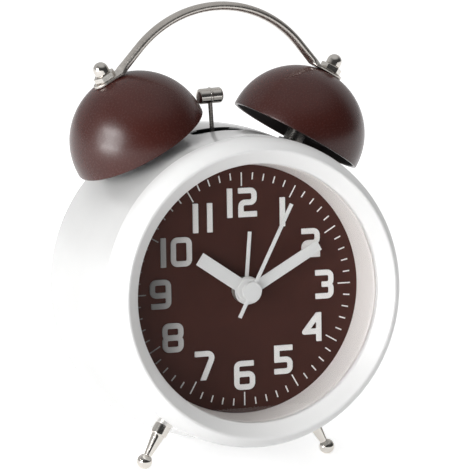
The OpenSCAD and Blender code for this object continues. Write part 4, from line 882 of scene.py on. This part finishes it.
# Screws of the cover, with a cross recess
SCREW_LENGTH = 11.0
SCREW_R = 1.2
SCREW_HEAD_R = 2.2
CROSS_REACH = 1.3
CROSS_HALF = 0.28
CROSS_FLOOR = 0.45
screw_profile = [(0, -SCREW_LENGTH), (SCREW_R, -SCREW_LENGTH), (SCREW_R, 0), (SCREW_HEAD_R, 0),
                 (SCREW_HEAD_R, 0.55, 0.1), (1.9, 0.9, EDGE), (1.2, 1.12, EDGE), (0, 1.2)]
cross = []
for turn_x, turn_y in ((1, 0), (0, 1), (-1, 0), (0, -1)):
    for along, across in ((CROSS_REACH, -CROSS_HALF), (CROSS_REACH, CROSS_HALF), (CROSS_HALF, CROSS_HALF)):
        cross.append((along * turn_x - across * turn_y, along * turn_y + across * turn_x))
screw_shape = Shape()
recesses = Shape()
for angle in (60, 180, 300):
    seat = rear(SCREW_AT * math.sin(math.radians(angle)), SCREW_AT * math.cos(math.radians(angle)))
    screw_shape.lathe(soften(screw_profile, closed=False), seat, 48, closed=False)
    recesses.prism(cross, CROSS_FLOOR, 2.0, seat @ Matrix.Rotation(math.radians(20 + angle / 3), 4, "Z"))
screws = screw_shape.make("cover_screws", CRISP)
cut(screws, recesses.make("cross_cutter"))
shade(screws, CRISP)
dress(screws, "case", "steel", steel, "rear_cover_screws")

# Moulded rims round the switch and the knobs
trim = Shape()
trim.band(rounded(6.6, 3.6, 1.2), rounded(5.4, 2.4, 0.6), 0, 0.5, rear(0, SWITCH_Y))
for x in (TIME_X, ALARM_X):
    trim.lathe(soften([(6.3, 0), (7.1, 0), (7.1, 0.3, 0.15), (6.3, 0.3, 0.15)]), rear(x, 0), 96)
dress(trim.make("cover_trim", CRISP), "case", "white_plastic", white_plastic)

# Printed marks: turning arrows, a clock and a bell over the knobs, and a bar and a ring at the switch
arrow_shaft = arc(0, 0, 8.9, 45, 135, 24) + list(reversed(arc(0, 0, 8.4, 45, 135, 24)))
arrow_tip = [(7.5, 0), (9.8, 0), (8.65, -2.0)]
marks = Shape()
for x in (TIME_X, ALARM_X):
    marks.prism(arrow_shaft, 0, MARK, rear(x, 0))
    marks.prism(arrow_tip, 0, MARK, rear(x, 0) @ Matrix.Rotation(math.radians(45), 4, "Z"))
clock_place = rear(TIME_X, SIGN_Y)
marks.band(arc(0, 0, 2.1, 0, 345, 23), arc(0, 0, 1.7, 0, 345, 23), 0, MARK, clock_place)
marks.prism(bar(0.16, 0.6, 0, 0.65), 0, MARK, clock_place)
marks.prism(bar(0.4, 0.16, 0.6, -0.1), 0, MARK, clock_place)
bell_mark = arc(0, 0.3, 1.5, 0, 180, 16) + [(-1.5, -0.9), (-2.1, -1.5), (2.1, -1.5), (1.5, -0.9)]
marks.prism(bell_mark, 0, MARK, rear(ALARM_X, SIGN_Y))
marks.prism(arc(0, -2.1, 0.42, 0, 330, 11), 0, MARK, rear(ALARM_X, SIGN_Y))
marks.prism(bar(0.25, 1.3), 0, MARK, rear(-ON_OFF_X, SWITCH_Y))
marks.band(arc(0, 0, 1.3, 0, 345, 23), arc(0, 0, 0.85, 0, 345, 23), 0, MARK, rear(ON_OFF_X, SWITCH_Y))
dress(marks.make("setting_marks"), "case", "black_plastic", mark_ink)

# Door: opening arrow and poles of the cell
door_marks = Shape()
door_marks.prism([(-1.6, 1.0), (1.6, 1.0), (0, -1.4)], 0, MARK, rear(0, ARROW_Y))
door_marks.prism(bar(1.5, 0.25), 0, MARK, rear(POLE_X, POLE_Y))
for outline in (bar(1.5, 0.25), bar(0.25, 0.6, 0, 0.9), bar(0.25, 0.6, 0, -0.9)):
    door_marks.prism(outline, 0, MARK, rear(-POLE_X, POLE_Y))
dress(door_marks.make("door_marks"), "battery_door", "black_plastic", mark_ink)

# Dished caps on the setting knobs
dish = [(0, 0), (4.3, 0), (4.3, 0.4, 0.15), (3.7, 0.4, 0.15), (3.3, 0.12, 0.15), (0, 0.12)]
for name, body, x in (("time_knob_cap", "time_set", TIME_X), ("alarm_knob_cap", "alarm_set", ALARM_X)):
    knob_cap = Shape().lathe(soften(dish, closed=False), rear(x, 0, KNOB_END), 72, closed=False)
    dress(knob_cap.make(name, CRISP), body, "white_plastic", white_plastic)

# Floor: white paper that glows for the camera and for reflections, and still shows the clock's shadow
FLOOR_HALF = 6
FLOOR_GLOW = 0.6
floor_corners = [(x * FLOOR_HALF, y * FLOOR_HALF, 0) for x, y in ((-1, -1), (1, -1), (1, 1), (-1, 1))]
floor_mesh = bpy.data.meshes.new("floor")
floor_mesh.from_pydata(floor_corners, [], [(0, 1, 2, 3)])
floor = bpy.data.objects.new("floor", floor_mesh)
bpy.context.scene.collection.objects.link(floor)
floor_material, floor_tree, floor_shader = new_material("floor_paper")
floor_place = put(floor_tree, "ShaderNodeTexCoord")
floor_noise = noise(floor_tree, floor_place, 8.0, 3.0)
floor_tint = tint(floor_tree, floor_noise, (0.86, 0.86, 0.86), (0.88, 0.88, 0.88))
floor_tree.links.new(floor_tint.outputs["Color"], floor_shader.inputs["Base Color"])
floor_shader.inputs["Roughness"].default_value = 0.9
floor_shader.inputs["Specular IOR Level"].default_value = 0.0
floor_shader.inputs["Emission Color"].default_value = (1, 1, 1, 1)
seen = put(floor_tree, "ShaderNodeLightPath")
seen_or_shiny = combine(floor_tree, "MAXIMUM", seen.outputs["Is Camera Ray"],
                        seen.outputs["Is Glossy Ray"])
seen_any = combine(floor_tree, "MAXIMUM", seen_or_shiny, seen.outputs["Is Transmission Ray"])
glow = put(floor_tree, "ShaderNodeMath", operation="MULTIPLY")
glow.inputs[1].default_value = FLOOR_GLOW
floor_tree.links.new(seen_any, glow.inputs[0])
floor_tree.links.new(glow.outputs[0], floor_shader.inputs["Emission Strength"])
floor_mesh.materials.append(floor_material)

scene = bpy.context.scene
world = bpy.data.worlds.new("studio")
scene.world = world
world.use_nodes = True
world_tree = world.node_tree
backdrop = world_tree.nodes["Background"]
backdrop.inputs["Color"].default_value = (1, 1, 1, 1)


def fade(tree, source, low, high, first, last):
    """Soft step of a direction's part between two limits."""
    step = put(tree, "ShaderNodeMapRange", interpolation_type="SMOOTHSTEP", in_From_Min=low,
               in_From_Max=high, in_To_Min=first, in_To_Max=last)
    tree.links.new(source, step.inputs["Value"])
    return step.outputs["Result"]


# The room: white behind, above and to the left, dim in front
DIM_ROOM = 0.06
BACKDROP = 0.6
ROOM_LIGHT = 0.32
world_place = put(world_tree, "ShaderNodeTexCoord")
heading = put(world_tree, "ShaderNodeSeparateXYZ")
world_tree.links.new(world_place.outputs["Generated"], heading.inputs[0])
behind = fade(world_tree, heading.outputs["Y"], -0.15, 0.45, DIM_ROOM, BACKDROP)
above = fade(world_tree, heading.outputs["Z"], 0.5, 0.95, DIM_ROOM, BACKDROP)
beside = fade(world_tree, heading.outputs["X"], -0.6, -0.95, DIM_ROOM, BACKDROP)
around = combine(world_tree, "MAXIMUM", behind, combine(world_tree, "MAXIMUM", above, beside))
world_path = put(world_tree, "ShaderNodeLightPath")
room = put(world_tree, "ShaderNodeMapRange", in_To_Max=ROOM_LIGHT)
world_tree.links.new(world_path.outputs["Is Diffuse Ray"], room.inputs["Value"])
world_tree.links.new(around, room.inputs["To Min"])
seen_directly = combine(world_tree, "MAXIMUM", world_path.outputs["Is Camera Ray"],
                        world_path.outputs["Is Transmission Ray"])
strength = combine(world_tree, "MAXIMUM", seen_directly, room.outputs["Result"])
world_tree.links.new(strength, backdrop.inputs["Strength"])


LAMP_AIM = Vector((0, 0, 0.08))


def lamp(name, azimuth, elevation, distance, size, power):
    """Soft box at a compass place around the clock: azimuth from the front, to the right."""
    a = math.radians(azimuth)
    e = math.radians(elevation)
    away = Vector((math.sin(a) * math.cos(e), -math.cos(a) * math.cos(e), math.sin(e)))
    place = LAMP_AIM + distance * away
    light = bpy.data.lights.new(name, "AREA")
    light.shape = "RECTANGLE"
    light.size, light.size_y = size
    light.energy = power
    holder = bpy.data.objects.new(name, light)
    scene.collection.objects.link(holder)
    holder.location = place
    holder.rotation_euler = (LAMP_AIM - place).to_track_quat("-Z", "Y").to_euler()
    return holder


# Three lamps light the clock, and a card on the left shows only as the gloss on the bells and the metal
key = lamp("key_left", azimuth=-72, elevation=9, distance=0.9, size=(0.44, 0.32), power=3.2)
card = lamp("gloss_card", azimuth=-72, elevation=9, distance=0.9, size=(0.44, 0.37), power=20.0)
fill = lamp("front_fill", azimuth=-46, elevation=2, distance=1.2, size=(0.9, 0.5), power=6.6)
top = lamp("top_back", azimuth=180, elevation=72, distance=1.3, size=(2.0, 1.4), power=8.5)
card.visible_diffuse = False
for soft_box in (key, fill, top):
    soft_box.visible_glossy = False

# Camera at the photograph's place, given in the dial's frame and then leaned with the clock
AZIMUTH = math.radians(22.33)
ELEVATION = math.radians(5.79)
ROLL = math.radians(-0.89)
DISTANCE = 1147.3
FOCAL_PIXELS = 3240.5
IMAGE_PIXELS = 470
AIM_RIGHT = -2.28
AIM_UP = 19.15
SENSOR = 36
back = Vector((-math.sin(AZIMUTH) * math.cos(ELEVATION), math.sin(ELEVATION),
               math.cos(AZIMUTH) * math.cos(ELEVATION)))
right = Vector((math.cos(AZIMUTH), 0, math.sin(AZIMUTH)))
up = back.cross(right)
turned_right = right * math.cos(ROLL) + up * math.sin(ROLL)
turned_up = up * math.cos(ROLL) - right * math.sin(ROLL)
eye = right * AIM_RIGHT + up * AIM_UP + back * DISTANCE
turn = FACE.to_3x3() * (1 / MM)
camera_data = bpy.data.cameras.new("camera")
camera_data.sensor_width = SENSOR
camera_data.sensor_height = SENSOR
camera_data.sensor_fit = "HORIZONTAL"
camera_data.lens = FOCAL_PIXELS / IMAGE_PIXELS * SENSOR
camera_data.clip_start = 0.05
camera_data.clip_end = 50
camera = bpy.data.objects.new("camera", camera_data)
scene.collection.objects.link(camera)
axes = Matrix((turn @ turned_right, turn @ turned_up, turn @ back)).transposed()
camera.matrix_world = Matrix.Translation(FACE @ eye) @ axes.to_4x4()
scene.camera = camera
scene.view_settings.view_transform = "Standard"
